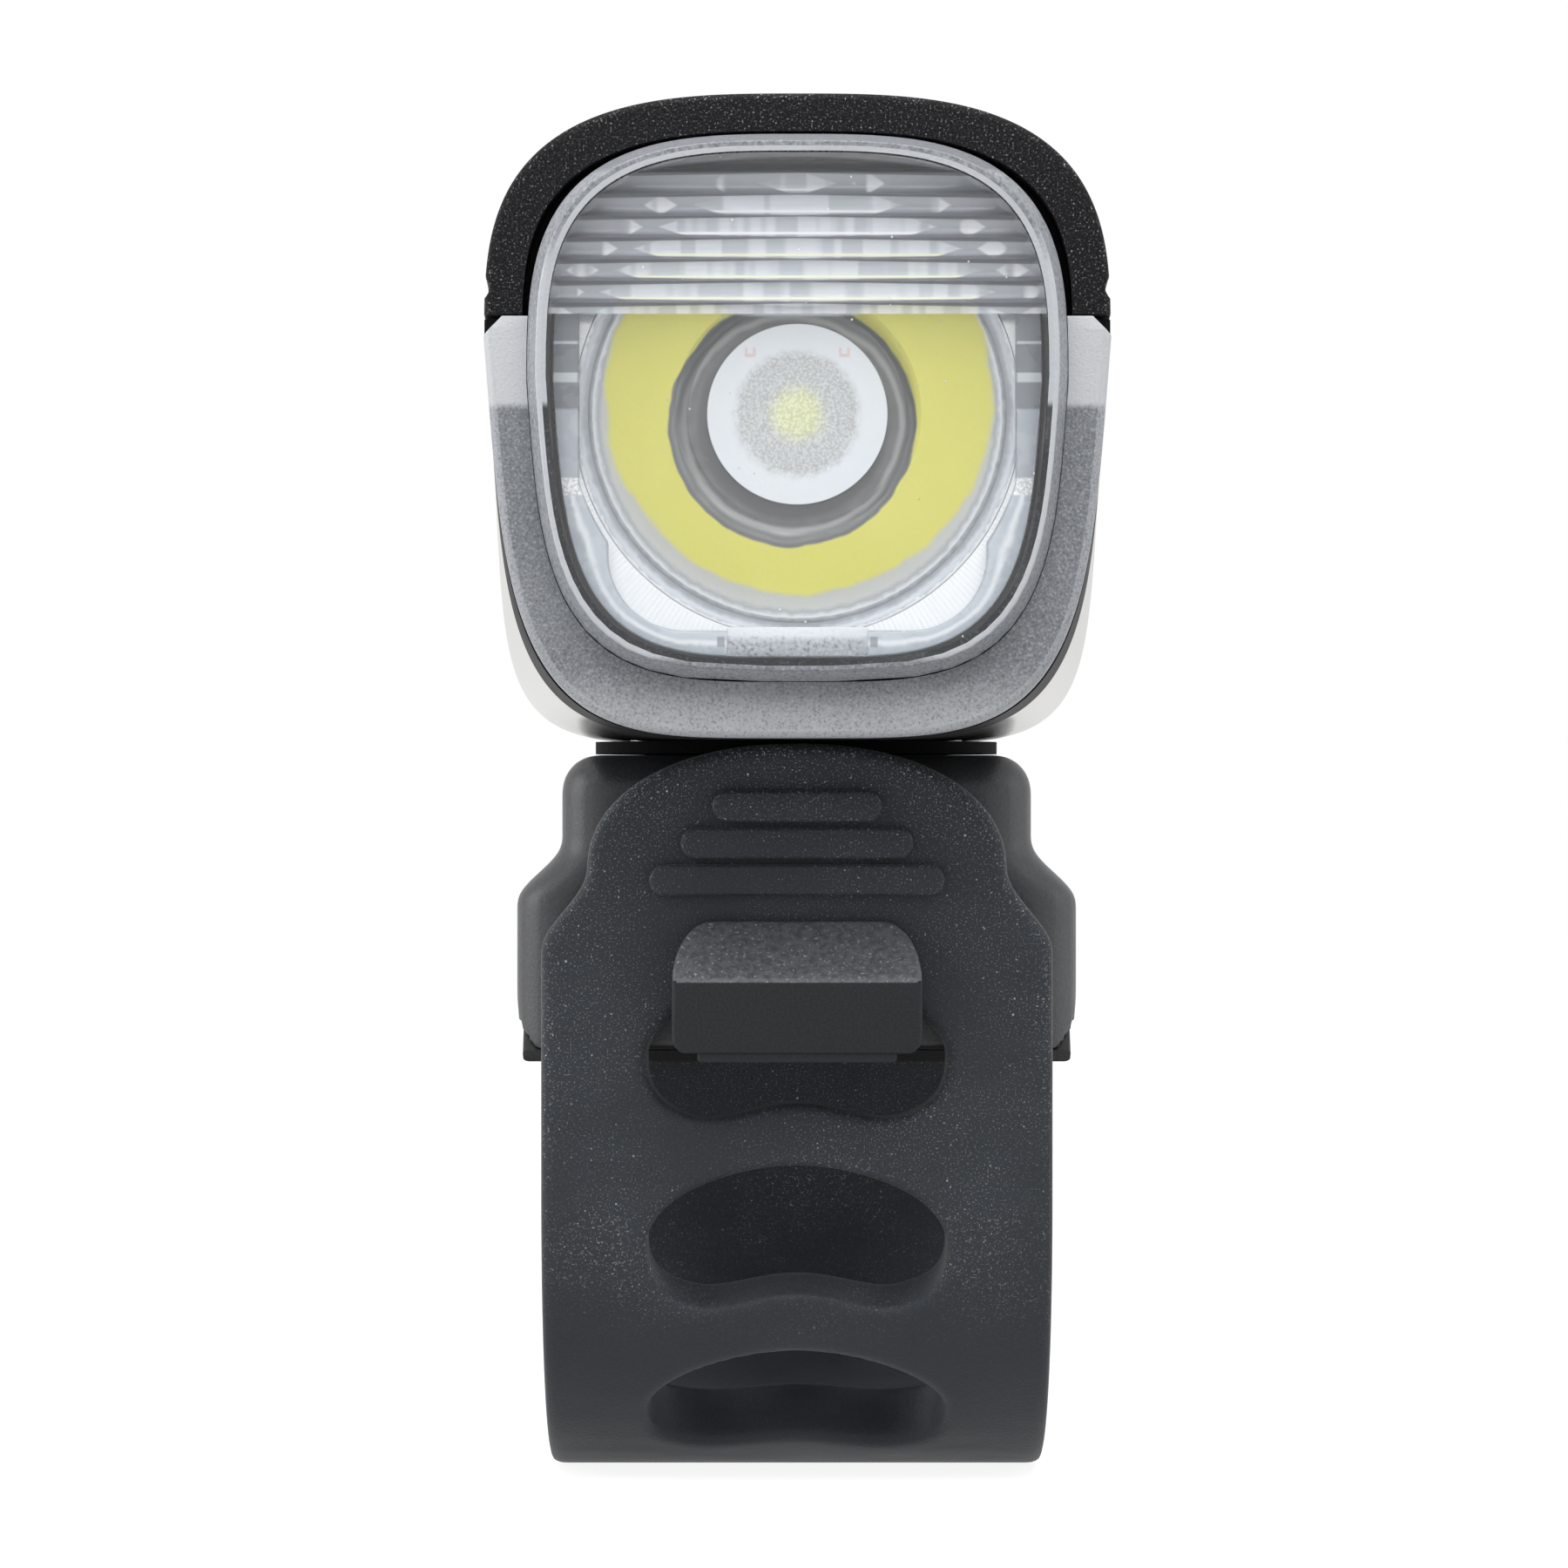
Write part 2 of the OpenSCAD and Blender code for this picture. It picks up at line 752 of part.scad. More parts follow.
// Rear cap: domed plate with a lip inside the shells and a recess for the port's flap
module rear_cap() color("#26272a") {
    head_y = cap_y1 - screw_head_t - 0.8;
    recess_y = cap_y1 - flap_t;
    hinge_z = flap_z + flap_t / 2;
    difference() {
        union() {
            skin([
                ring(case_outline(case_y1, 0), cap_y0),
                ring(case_outline(case_y1, 0.3), cap_y0 + cap_t * 0.56),
                ring(case_outline(case_y1, 0.85), cap_y0 + cap_t * 0.84),
                ring(case_outline(case_y1, 1.7), cap_y1)
            ]);
            difference() {
                along_y(case_y1 - cap_lip, cap_y0) polygon(case_outline(case_y1, wall_t + fit));
                along_y(case_y1 - cap_lip - over, cap_y0) polygon(case_outline(case_y1, wall_t + fit + lip_t));
                at_cap_screws(true, true) rod_y(boss_r + fit * 2, case_y1 - boss_len, cap_y0);
                rod_y(cell_r + fit, case_y1 - boss_len, cap_y0, 0, cell_z);
            }
        }
        block(port_w, cap_y0 - over, cap_y1 + over, port_z - port_h / 2, port_z + port_h / 2);
        block(
            flap_w + flap_gap * 2, recess_y, cap_y1 + over,
            hinge_z - flap_t / 2 - flap_gap * 1.7, flap_z + flap_h + flap_gap
        );
        at_cap_screws(true, true) {
            rod_y(pilot_r, cap_y0 - over, cap_y1 + over);
            rod_y(cap_head_r + fit, head_y - fit, cap_y1 + over);
        }
    }
}

module cap_screws() color("silver") {
    head_y = cap_y1 - screw_head_t - 0.8;
    at_cap_screws(true, true) {
        rod_y(cap_head_r, head_y, head_y + screw_head_t);
        rod_y(screw_r, head_y - cap_screw_len, head_y);
    }
}

module battery_cell() color("#3f6ea8") {
    rod_y(cell_r, cell_y0, cell_y1, 0, cell_z);
    rod_y(nub_r, cell_y0 - nub_t, cell_y0, 0, cell_z);
}

// Moulded cradle that fills the shell's floor under the cell, clear of the foot's bosses
module battery_cradle() color("#2b2b2e") {
    cradle_y1 = case_y1 - boss_len - over;
    difference() {
        intersection() {
            case_solid(wall_t + seat, cell_y0, cradle_y1, 6);
            block(cell_d + 4, cell_y0 - over, cradle_y1 + over, case_z0, cell_z - cell_r / 4);
        }
        rod_y(cell_r + seat, cell_y0 - over, cradle_y1 + over, 0, cell_z);
        both_sides() rod_z(foot_boss_r + fit, case_z0 - over, case_z0 + foot_boss_h + fit, foot_screw_x, 0);
    }
}

// Nickel strips from the cell's ends up to the driver board
module cell_tabs() color("#b9b9b0") {
    block(tab_w, cell_y0 - nub_t - tab_t, cell_y0 - nub_t, cell_z - nub_r, board_z0);
    block(tab_w, cell_y1, cell_y1 + tab_t, cell_z - nub_r, board_z0);
}

module foam_pad() color("#4a4a4a") {
    foam_w = 10;
    foam_y0 = cell_y0 + 6;
    foam_rear = 11;
    foam_y1 = cell_y1 - foam_rear;
    difference() {
        block(foam_w, foam_y0, foam_y1, cell_z + cell_r / 2, board_z0);
        rod_y(cell_r + seat, foam_y0 - over, foam_y1 + over, 0, cell_z);
    }
}

module driver_board() color("#1f6b3a") block(board_w, board_y0, board_y1, board_z0, board_z1);

module button_switch() color("#8d8f92") {
    switch_w = 5.2;
    block(switch_w, button_y - switch_w / 2, button_y + switch_w / 2, board_z1, board_z1 + switch_h);
    rod_z(plunger_r, board_z1 + switch_h, switch_z, 0, button_y);
}

// Button cap with a flange under the cover and a stem over the switch
module power_button() color("#46484c") {
    flange_z = boss_z - fit;
    translate([0, button_y, 0])
        rotate_extrude()
            polygon(concat(
                [
                    [0, stem_z],
                    [stem_r, stem_z],
                    [stem_r, flange_z - button_flange_t],
                    [button_r + button_flange_w, flange_z - button_flange_t],
                    [button_r + button_flange_w, flange_z],
                    [button_r, flange_z]
                ],
                arc(button_r - button_edge, button_z - button_edge, button_edge, 0, 90, 4),
                [[0, button_z]]
            ));
}

module indicator_shape(gap, top_z) {
    pipe_r = 1.1;
    pipe_foot_r = 1.7;
    pipe_y = button_y - button_r - 3.6;
    rod_z(pipe_r + gap, board_z1, top_z, 0, pipe_y);
    rod_z(pipe_foot_r + gap, board_z1, board_z1 + pipe_r, 0, pipe_y);
}

// Light pipe from the board up to the cover
module indicator_pipe() color("#cfe6cf") indicator_shape(0, case_z1 - 0.15);

module charge_socket() color("#b4b6b8") {
    shell_t = 0.35;
    tongue_h = 0.7;
    mouth = socket_len - 1.5;
    difference() {
        block(socket_w, board_y1 - socket_len, board_y1, board_z1, board_z1 + socket_h);
        difference() {
            block(
                socket_w - shell_t * 2, board_y1 - mouth, board_y1 + over,
                board_z1 + shell_t, board_z1 + socket_h - shell_t
            );
            block(
                socket_w - shell_t * 8, board_y1 - mouth - over, board_y1 - over,
                port_z - tongue_h / 2, port_z + tongue_h / 2
            );
        }
    }
}

// Rubber flap, round at its hinged lower edge, with a shallow plug for the port
module port_cover() color("#232427") {
    hinge_y = cap_y1 - flap_t / 2;
    hinge_z = flap_z + flap_t / 2;
    plug_z = port_z - plug_h / 2;
    rod_x(flap_t / 2 - seat, flap_w, hinge_y, hinge_z);
    block(flap_w, cap_y1 - flap_t + seat, cap_y1 - seat, hinge_z, flap_z + flap_h);
    block(port_w - 0.6, cap_y1 - flap_t - plug_t, cap_y1 - flap_t + flap_t / 2, plug_z, plug_z + plug_h);
}

// Turning foot: disc under the shell with a pivot down into the bracket
module swivel_foot() color("#202124")
    difference() {
        union() {
            rod_z(foot_d / 2, foot_z, case_z0);
            rod_z(pivot_d / 2, bracket_z - pivot_len + fit, case_z0);
        }
        rod_z(pivot_screw_d / 2 + seat, bracket_z - pivot_len - over, case_z0 - foot_t / 2);
        both_sides() {
            rod_z(foot_screw_r + seat, foot_z - over, case_z0 + over, foot_screw_x, 0);
            rod_z(foot_head_r + seat, foot_z - over, foot_z + foot_head_t + seat, foot_screw_x, 0);
        }
    }

module foot_screws() color("silver")
    both_sides() {
        rod_z(foot_head_r, foot_z + seat, foot_z + foot_head_t, foot_screw_x, 0);
        rod_z(foot_screw_r, foot_z + foot_head_t, foot_z + foot_head_t + foot_screw_len, foot_screw_x, 0);
    }

module pivot_washer() color("#c2c2be")
    difference() {
        rod_z(washer_d / 2, bracket_z - pivot_len - washer_t, bracket_z - pivot_len);
        rod_z(pivot_screw_d / 2 + fit, bracket_z - pivot_len - washer_t - over, bracket_z);
    }

module pivot_screw() color("silver") {
    head_t = 1.9;
    washer_z = bracket_z - pivot_len - washer_t;
    rod_z(pivot_screw_d, washer_z - head_t, washer_z);
    rod_z(pivot_screw_d / 2, washer_z, bracket_z - fit);
}

// Clockwise rounded rectangle at height z, drawn in by inset all round
function block_ring(half_w, inset, z) =
    let (
        r = max(block_corner - inset, inset / 8),
        x = half_w - inset - r,
        y = block_y - inset - r,
        steps = 6
    )
    [
        for (p = concat(
            arc(x, y, r, 90, 0, steps), arc(x, -y, r, 0, -90, steps),
            arc(-x, -y, r, -90, -180, steps), arc(-x, y, r, 180, 90, steps)
        ))
            [p[0], p[1], z]
    ];

// Rings of the bracket from its lower edge up: skirt, S-curve in to the block, straight side, round top edge
function bracket_rings() =
    let (
        low = saddle_r + flare_lift,
        skirt = skirt_w / 2,
        side = block_w / 2,
        flare_steps = 8,
        round_steps = 5
    )
    concat(
        [block_ring(skirt, 0, apron_z)],
        [
            for (i = [0 : flare_steps])
                let (u = i / flare_steps)
                block_ring(mix(skirt, side, ease(u)), 0, low + flare_h * u)
        ],
        [
            for (i = [0 : round_steps])
                let (a = 90 * i / round_steps)
                block_ring(side, block_round * (1 - cos(a)), bracket_z - block_round * (1 - sin(a)))
        ]
    );

module bracket() color("#2e3033") {
    lug_in = tail_w / 2 + strap_gap;
    lug_r = eyelet_r;
    washer_room = washer_d / 2 + 0.4;
    difference() {
        union() {
            skin(bracket_rings());
            hook();
            both_sides()
                translate([lug_in + lug_w / 2, 0, 0]) {
                    rod_x(lug_r, lug_w, pin_y, pin_z);
                    block(lug_w, block_y - block_round, pin_y, pin_z - lug_r, pin_z + lug_r);
                }
        }
        rod_x(saddle_r, far, 0, 0);
        rod_x(pin_d / 2 + seat, far, pin_y, pin_z);
        rod_x(eyelet_r + strap_gap, lug_in * 2, pin_y, pin_z);
        rod_z(pivot_d / 2 + fit, 0, bracket_z + over);
        rod_z(washer_room, 0, bracket_z - pivot_len);
    }
}

// Hook for the strap: a post through the buttonhole and a lip in front.
// The lip is sloped on top and round at its upper corners.
module hook() {
    lip_y = strap_out + strap_gap;
    lip_z = slot_z + 0.2;
    slope = hook_t - 0.7;
    corner_w = 2.1;
    corner_h = slope;
    corner_steps = 6;
    corner = [
        for (i = [0 : corner_steps])
            [
                hook_w / 2 - corner_w * (1 - cos(90 * i / corner_steps)),
                lip_z + hook_h - corner_h * (1 - sin(90 * i / corner_steps))
            ]
    ];
    root_w = hook_w - 2.7;
    root_h = 0.5;
    post_z = slot_z - 0.3;
    block(post_w, -lip_y, over - block_y, post_z, post_z + post_h);
    block(root_w, -lip_y - hook_t, -lip_y, lip_z - root_h, lip_z);
    intersection() {
        along_x(hook_w)
            polygon([
                [-lip_y, lip_z],
                [-lip_y, lip_z + hook_h],
                [slope - lip_y - hook_t, lip_z + hook_h],
                [-lip_y - hook_t, lip_z + hook_h - slope],
                [-lip_y - hook_t, lip_z]
            ]);
        along_y(-lip_y - hook_t - over, over - lip_y)
            polygon([
                [-hook_w / 2, lip_z],
                [hook_w / 2, lip_z],
                each corner,
                for (i = [corner_steps : -1 : 0]) [-corner[i].x, corner[i].y]
            ]);
    }
}

module saddle_pad() color("#17181a")
    about_bar(180 - pad_arc / 2, 180 + pad_arc / 2)
        translate([bar_r, -pad_w / 2]) square([pad_t, pad_w]);

// Half-width of the strap's front run at height z: round tongue, shoulders, then full width
function strap_half(z) =
    let (
        round_z = tongue_z - tongue_round,
        down = (round_z - z) / shoulder_h
    )
    z > round_z
        ? arch(z - round_z, tongue_round, tongue_w / 2, 2.15)
        : mix(tongue_w / 2, strap_w / 2, ease(min(1, down)));

// Kidney-shaped buttonhole about the level of its ends
module slot_outline() {
    steps = 14;
    w = slot_w / 2;
    xs = [for (i = [0 : steps]) w * sin(mix(-90, 90, i / steps))];
    top = [for (x = xs) [x, arch(x, w, slot_rise, slot_top_power)]];
    foot = [
        for (i = [steps - 1 : -1 : 1])
            let (
                x = xs[i],
                swell = max(0, 1 - pow(x / (w * 0.7), 2))
            )
            [x, slot_swell * swell * swell - arch(x, w, slot_drop, slot_foot_power)]
    ];
    polygon(concat(top, foot));
}

// Rubber strap: tongue and grip ribs in front, wrap under the bar, narrow tail to the eyelet at the rear
module strap() color("#3c3f45") {
    front_steps = 24;
    zs = [for (i = [0 : front_steps]) tongue_z * (1 - pow(1 - i / front_steps, 2))];
    right = [for (z = zs) [strap_half(z), z]];
    left = [for (i = [front_steps - 1 : -1 : 0]) [-right[i][0], right[i][1]]];
    tail = [
        for (i = [0 : 8])
            let (u = i / 8)
            [mix(strap_w / 2, tail_w / 2, ease(u)), tail_taper_h * u]
    ];
    difference() {
        union() {
            along_y(-strap_out, -strap_in) polygon(concat(right, left));
            for (i = [0 : grip_count - 1])
                grip_rib(tongue_z - grip_drop - i * grip_pitch, grip_w + i * grip_step);
            about_bar(-90, 90)
                polygon([
                    [strap_in, -strap_w / 2],
                    [strap_out - strap_edge, -strap_w / 2],
                    [strap_out, strap_edge - strap_w / 2],
                    [strap_out, strap_w / 2 - strap_edge],
                    [strap_out - strap_edge, strap_w / 2],
                    [strap_in, strap_w / 2]
                ]);
            along_y(strap_in, strap_out)
                polygon(concat(
                    tail,
                    [[tail_w / 2, pin_z], [-tail_w / 2, pin_z]],
                    [for (i = [len(tail) - 1 : -1 : 0]) [-tail[i][0], tail[i][1]]]
                ));
            rod_x(eyelet_r, tail_w, pin_y, pin_z);
        }
        rod_x(pin_d / 2 + fit, far, pin_y, pin_z);
        for (i = [0 : slot_count - 1]) slot_cut(slot_z - i * slot_pitch);
    }
}

module grip_rib(z, length) {
    run = length - grip_h;
    along_y(-strap_out - grip_proud, -strap_mid) {
        translate([-run / 2, z - grip_h / 2]) square([run, grip_h]);
        for (side = [-1, 1]) translate([side * run / 2, z]) circle(d = grip_h);
    }
}

// Cut of one buttonhole at the distance s along the strap's mid-line, upward from the bar's axis level
module slot_cut(s) {
    turn = s < 0 ? -s / strap_mid * 180 / PI : 0;
    rotate([turn, 0, 0])
        translate([0, 0, max(0, s)])
            along_y(-strap_out - over, -strap_in + over)
                slot_outline();
}

module strap_pin() color("silver") rod_x(pin_d / 2, tail_w + 2 * (strap_gap + lug_w), pin_y, pin_z);

front_lens();
side_window();
lens_gasket();
front_frame();
frame_screws();
optic_holder();
tir_optic();
led_emitter();
led_board();
led_board_screws();
led_leads();
heat_sink();
top_cover();
lower_shell();
rear_gasket();
rear_cap();
cap_screws();
battery_cell();
battery_cradle();
cell_tabs();
foam_pad();
driver_board();
button_switch();
power_button();
indicator_pipe();
charge_socket();
port_cover();
swivel_foot();
foot_screws();
pivot_washer();
pivot_screw();
bracket();
saddle_pad();
strap();
strap_pin();
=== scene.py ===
"""Looks of a compact LED bicycle headlight on a rubber-strap handlebar mount.

Sizes are millimetres in the object's own frame, with X along the handlebar, -Y the way the beam points
and Z up. They turn into metres where a mesh is written.
"""

import logging
import math
from collections.abc import Iterator, Sequence
from contextlib import contextmanager
from dataclasses import dataclass, field, replace
from enum import Enum

import bmesh
import bpy
import numpy as np
from mathutils import Matrix, Vector


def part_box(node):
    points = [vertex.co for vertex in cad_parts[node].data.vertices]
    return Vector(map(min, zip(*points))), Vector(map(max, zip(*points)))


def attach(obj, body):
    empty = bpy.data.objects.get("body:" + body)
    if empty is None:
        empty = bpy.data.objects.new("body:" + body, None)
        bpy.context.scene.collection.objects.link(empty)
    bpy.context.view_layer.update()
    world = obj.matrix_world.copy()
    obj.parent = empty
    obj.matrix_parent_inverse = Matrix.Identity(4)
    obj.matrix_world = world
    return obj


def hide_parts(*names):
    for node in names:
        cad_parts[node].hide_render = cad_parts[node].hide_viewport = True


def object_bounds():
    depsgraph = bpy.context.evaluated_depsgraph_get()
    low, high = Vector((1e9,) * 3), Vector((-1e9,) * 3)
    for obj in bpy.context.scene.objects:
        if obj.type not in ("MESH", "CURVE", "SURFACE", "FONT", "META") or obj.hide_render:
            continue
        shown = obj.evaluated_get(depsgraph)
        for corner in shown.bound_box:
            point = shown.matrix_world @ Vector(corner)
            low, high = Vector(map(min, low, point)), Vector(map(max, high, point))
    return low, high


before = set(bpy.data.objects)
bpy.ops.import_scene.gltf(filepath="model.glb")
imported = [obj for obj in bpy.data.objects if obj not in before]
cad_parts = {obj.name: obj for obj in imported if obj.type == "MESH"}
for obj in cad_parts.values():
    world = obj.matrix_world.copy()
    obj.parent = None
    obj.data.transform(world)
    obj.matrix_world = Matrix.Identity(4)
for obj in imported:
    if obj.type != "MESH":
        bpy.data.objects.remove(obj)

CAD_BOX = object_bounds()
MM = 0.001
# Heights and places that more than one piece or finish uses
BEAM_Z = 42.05
BUTTON_Y = 16.0
PIPE_Y = 7.0
# Radius of a turned profile where it meets its axis
ON_AXIS = 0.001
LOG = logging.getLogger("headlight")

Colour = tuple[float, float, float]
Spot = tuple[float, float]
Points = np.ndarray
Piece = bpy.types.Object
Operand = "Value | float"


def scaled(colour: Colour, by: float) -> Colour:
    """A colour made darker or lighter."""
    return tuple(c * by for c in colour)


class Value:
    """One output socket of a graph, which takes part in Python expressions."""

    def __init__(self, graph: "Graph", socket: bpy.types.NodeSocket) -> None:
        """Wraps a socket of the given graph."""
        self.graph = graph
        self.socket = socket

    def math(self, operation: str, *others: Operand, swap: bool = False) -> "Value":
        """Adds a Math node.

        Args:
            operation: Name of the Math node's operation.
            others: The further operands.
            swap: True to put the operands in reverse order.

        Returns:
            The result.
        """
        operands = [self, *others]
        if swap:
            operands.reverse()
        return self.graph.add("ShaderNodeMath", {"operation": operation}, dict(enumerate(operands)))

    def __add__(self, other: Operand) -> "Value":
        """Sum."""
        return self.math("ADD", other)

    __radd__ = __add__

    def __sub__(self, other: Operand) -> "Value":
        """Difference."""
        return self.math("SUBTRACT", other)

    def __rsub__(self, other: Operand) -> "Value":
        """Difference from another operand."""
        return self.math("SUBTRACT", other, swap=True)

    def __mul__(self, other: Operand) -> "Value":
        """Product."""
        return self.math("MULTIPLY", other)

    __rmul__ = __mul__

    def __truediv__(self, other: Operand) -> "Value":
        """Quotient."""
        return self.math("DIVIDE", other)

    def __pow__(self, other: Operand) -> "Value":
        """Power."""
        return self.math("POWER", other)

    def __abs__(self) -> "Value":
        """Distance from zero."""
        return self.math("ABSOLUTE")

    def most(self, other: Operand) -> "Value":
        """The larger of two values."""
        return self.math("MAXIMUM", other)

    def least(self, other: Operand) -> "Value":
        """The smaller of two values."""
        return self.math("MINIMUM", other)

    def sine(self) -> "Value":
        """Sine of an angle in radians."""
        return self.math("SINE")

    def rise(self, start: float, end: float) -> "Value":
        """Smooth step from 0 at start to 1 at end; start may be the larger.

        Args:
            start: Where the step begins.
            end: Where it ends.

        Returns:
            The step.
        """
        low, high = min(start, end), max(start, end)
        step = self.graph.add(
            "ShaderNodeMapRange",
            {"interpolation_type": "SMOOTHSTEP"},
            {"Value": self, "From Min": low, "From Max": high},
        )
        return step if start < end else 1 - step

    def band(self, start: float, end: float, soft: float) -> "Value":
        """1 between start and end, with soft edges, and 0 elsewhere."""
        return self.rise(start - soft, start + soft) * self.rise(end + soft, end - soft)


class Graph:
    """Node tree of one material or world."""

    def __init__(self, owner: bpy.types.ID) -> None:
        """Clears the owner's nodes.

        Args:
            owner: The material or world.
        """
        owner.use_nodes = True
        self.owner = owner
        self.tree = owner.node_tree
        self.tree.nodes.clear()

    def add(
        self,
        kind: str,
        settings: dict[str, object] | None = None,
        inputs: dict[str | int, object] | None = None,
        output: str | int = 0,
    ) -> Value:
        """Adds one node.

        Args:
            kind: Blender's type name of the node.
            settings: Attributes set before the sockets; stops holds a ramp's positions and colours.
            inputs: Numbers, colours or values for the sockets, by name or place.
            output: Name or place of the socket that is returned.

        Returns:
            The chosen output.
        """
        node = self.tree.nodes.new(kind)
        for key, setting in (settings or {}).items():
            if key == "stops":
                self._set_stops(node, setting)
            else:
                setattr(node, key, setting)
        for key, given in (inputs or {}).items():
            if isinstance(given, Value):
                self.tree.links.new(given.socket, node.inputs[key])
            elif given is not None:
                node.inputs[key].default_value = given
        return Value(self, node.outputs[output] if len(node.outputs) else None)

    @staticmethod
    def _set_stops(node: bpy.types.Node, stops: Sequence[tuple[float, Colour]]) -> None:
        """Writes a colour ramp's stops.

        Args:
            node: The ramp.
            stops: Place and colour of each stop.
        """
        elements = node.color_ramp.elements
        while len(elements) < len(stops):
            elements.new(1.0)
        for element, (place, colour) in zip(elements, stops):
            element.position = place
            element.color = (*colour, 1.0)

    def spot(self) -> Value:
        """Place on the piece at rest, in metres."""
        return self.add("ShaderNodeTexCoord", output="Object")

    def axes(self) -> tuple[Value, Value, Value]:
        """X, Y and Z on the piece at rest, in millimetres."""
        split = self.add("ShaderNodeSeparateXYZ", None, {0: self.spot()}).socket.node
        return tuple(Value(self, split.outputs[i]) * (1 / MM) for i in range(3))

    def squeezed(self, stretch: Sequence[float]) -> Value:
        """Place on the piece with each axis divided by its stretch."""
        scale = tuple(1 / s for s in stretch)
        return self.add("ShaderNodeVectorMath", {"operation": "MULTIPLY"}, {0: self.spot(), 1: scale})

    def noise(self, size: float, detail: float = 2.0, stretch: Sequence[float] = (1, 1, 1)) -> Value:
        """Fractal noise from 0 to 1.

        Args:
            size: Width of one blob in millimetres.
            detail: Octaves of finer noise.
            stretch: Lengthening of the blobs along X, Y and Z.

        Returns:
            The noise.
        """
        sockets = {"Vector": self.squeezed(stretch), "Scale": 1 / (size * MM), "Detail": detail}
        return self.add("ShaderNodeTexNoise", None, sockets)

    def specks(self, spacing: float, size: float, share: float) -> Value:
        """Sparse round specks.

        Args:
            spacing: Distance between the places where a speck can lie, in millimetres.
            size: Radius of a speck in millimetres.
            share: Share of the places that hold one.

        Returns:
            1 on a speck and 0 elsewhere.
        """
        cells = self.add("ShaderNodeTexVoronoi", None, {"Vector": self.spot(), "Scale": 1 / (spacing * MM)})
        outputs = cells.socket.node.outputs
        chance = self.add("ShaderNodeSeparateColor", None, {0: Value(self, outputs["Color"])})
        there = chance.math("LESS_THAN", share)
        limit = size / spacing
        return there * Value(self, outputs["Distance"]).rise(limit, limit * 0.5)

    def tone(self, factor: Operand, low: Colour | Value, high: Colour | Value) -> Value:
        """Colour between low and high."""
        ends = [c if isinstance(c, Value) else (*c, 1.0) for c in (low, high)]
        return self.add("ShaderNodeMix", {"data_type": "RGBA"}, {0: factor, 6: ends[0], 7: ends[1]}, 2)

    def relief(self, height: Value, depth: float, under: Value | None = None) -> Value:
        """Normal of a surface with fine relief.

        Args:
            height: Height from 0 to 1.
            depth: Depth of the relief in millimetres.
            under: Normal of coarser relief below it.

        Returns:
            The normal.
        """
        return self.add("ShaderNodeBump", None, {"Distance": depth * MM, "Height": height, "Normal": under})

    def surface(self, inputs: dict[str | int, object]) -> Value:
        """Principled shader with the given sockets."""
        return self.add("ShaderNodeBsdfPrincipled", None, inputs)

    def mixed(self, factor: Value, first: Value, second: Value) -> Value:
        """Shader that goes from the first to the second as the factor goes from 0 to 1."""
        return self.add("ShaderNodeMixShader", None, {0: factor, 1: first, 2: second})

    def output(self, shader: Value, kind: str = "ShaderNodeOutputMaterial") -> None:
        """Ends the graph in the given shader."""
        self.add(kind, None, {"Surface": shader})

    def coat(self, inputs: dict[str | int, object]) -> None:
        """Ends the graph in a Principled shader with the given sockets."""
        self.output(self.surface(inputs))


@dataclass(frozen=True)
class Finish:
    """A finish of the object, painted by its subclass."""

    name: str
    slot: str

    def material(self) -> bpy.types.Material:
        """Material of this finish, made on first use.

        Returns:
            The material.
        """
        label = f"{self.name}_finish"
        if label not in bpy.data.materials:
            self.paint(Graph(bpy.data.materials.new(label)))
        return bpy.data.materials[label]

    def paint(self, graph: Graph) -> None:
        """Writes the finish into a new graph."""
        raise NotImplementedError


@dataclass(frozen=True)
class GrainyPlastic(Finish):
    """Spark-textured moulding: mottled colour, pitted relief and painted glints, bright specks in its
    colour where light would catch its grain.
    """

    colour: Colour = (0.03, 0.03, 0.032)
    roughness: float = 0.55
    grain: float = 0.28
    depth: float = 0.05
    glint_share: float = 0.0
    gloss: float = 0.3

    def paint(self, graph: Graph) -> None:
        """Writes the moulding into a new graph.

        Args:
            graph: The new graph.
        """
        pits = graph.noise(self.grain, 3.0)
        mottle = graph.noise(self.grain * 22, 2.0)
        dark, light = scaled(self.colour, 0.6), scaled(self.colour, 1.35)
        base = graph.tone(pits.rise(0.3, 0.7) * 0.75 + mottle * 0.25, dark, light)
        # Painted glints: bright specks painted into the colour where light would catch the grain.
        if self.glint_share > 0:
            glint_noise = graph.noise(self.grain * 0.45, 1.0)
            base = graph.tone(glint_noise.rise(0.48, 0.72) * self.glint_share * 0.35, base, (0.16, 0.16, 0.17))
            base = graph.tone(glint_noise.rise(0.65, 0.78) * self.glint_share, base, (0.42, 0.42, 0.44))
        graph.coat({
            "Base Color": base,
            "Roughness": self.roughness + (mottle - 0.5) * 0.16,
            "Specular IOR Level": self.gloss,
            "Normal": graph.relief(pits, self.depth),
        })


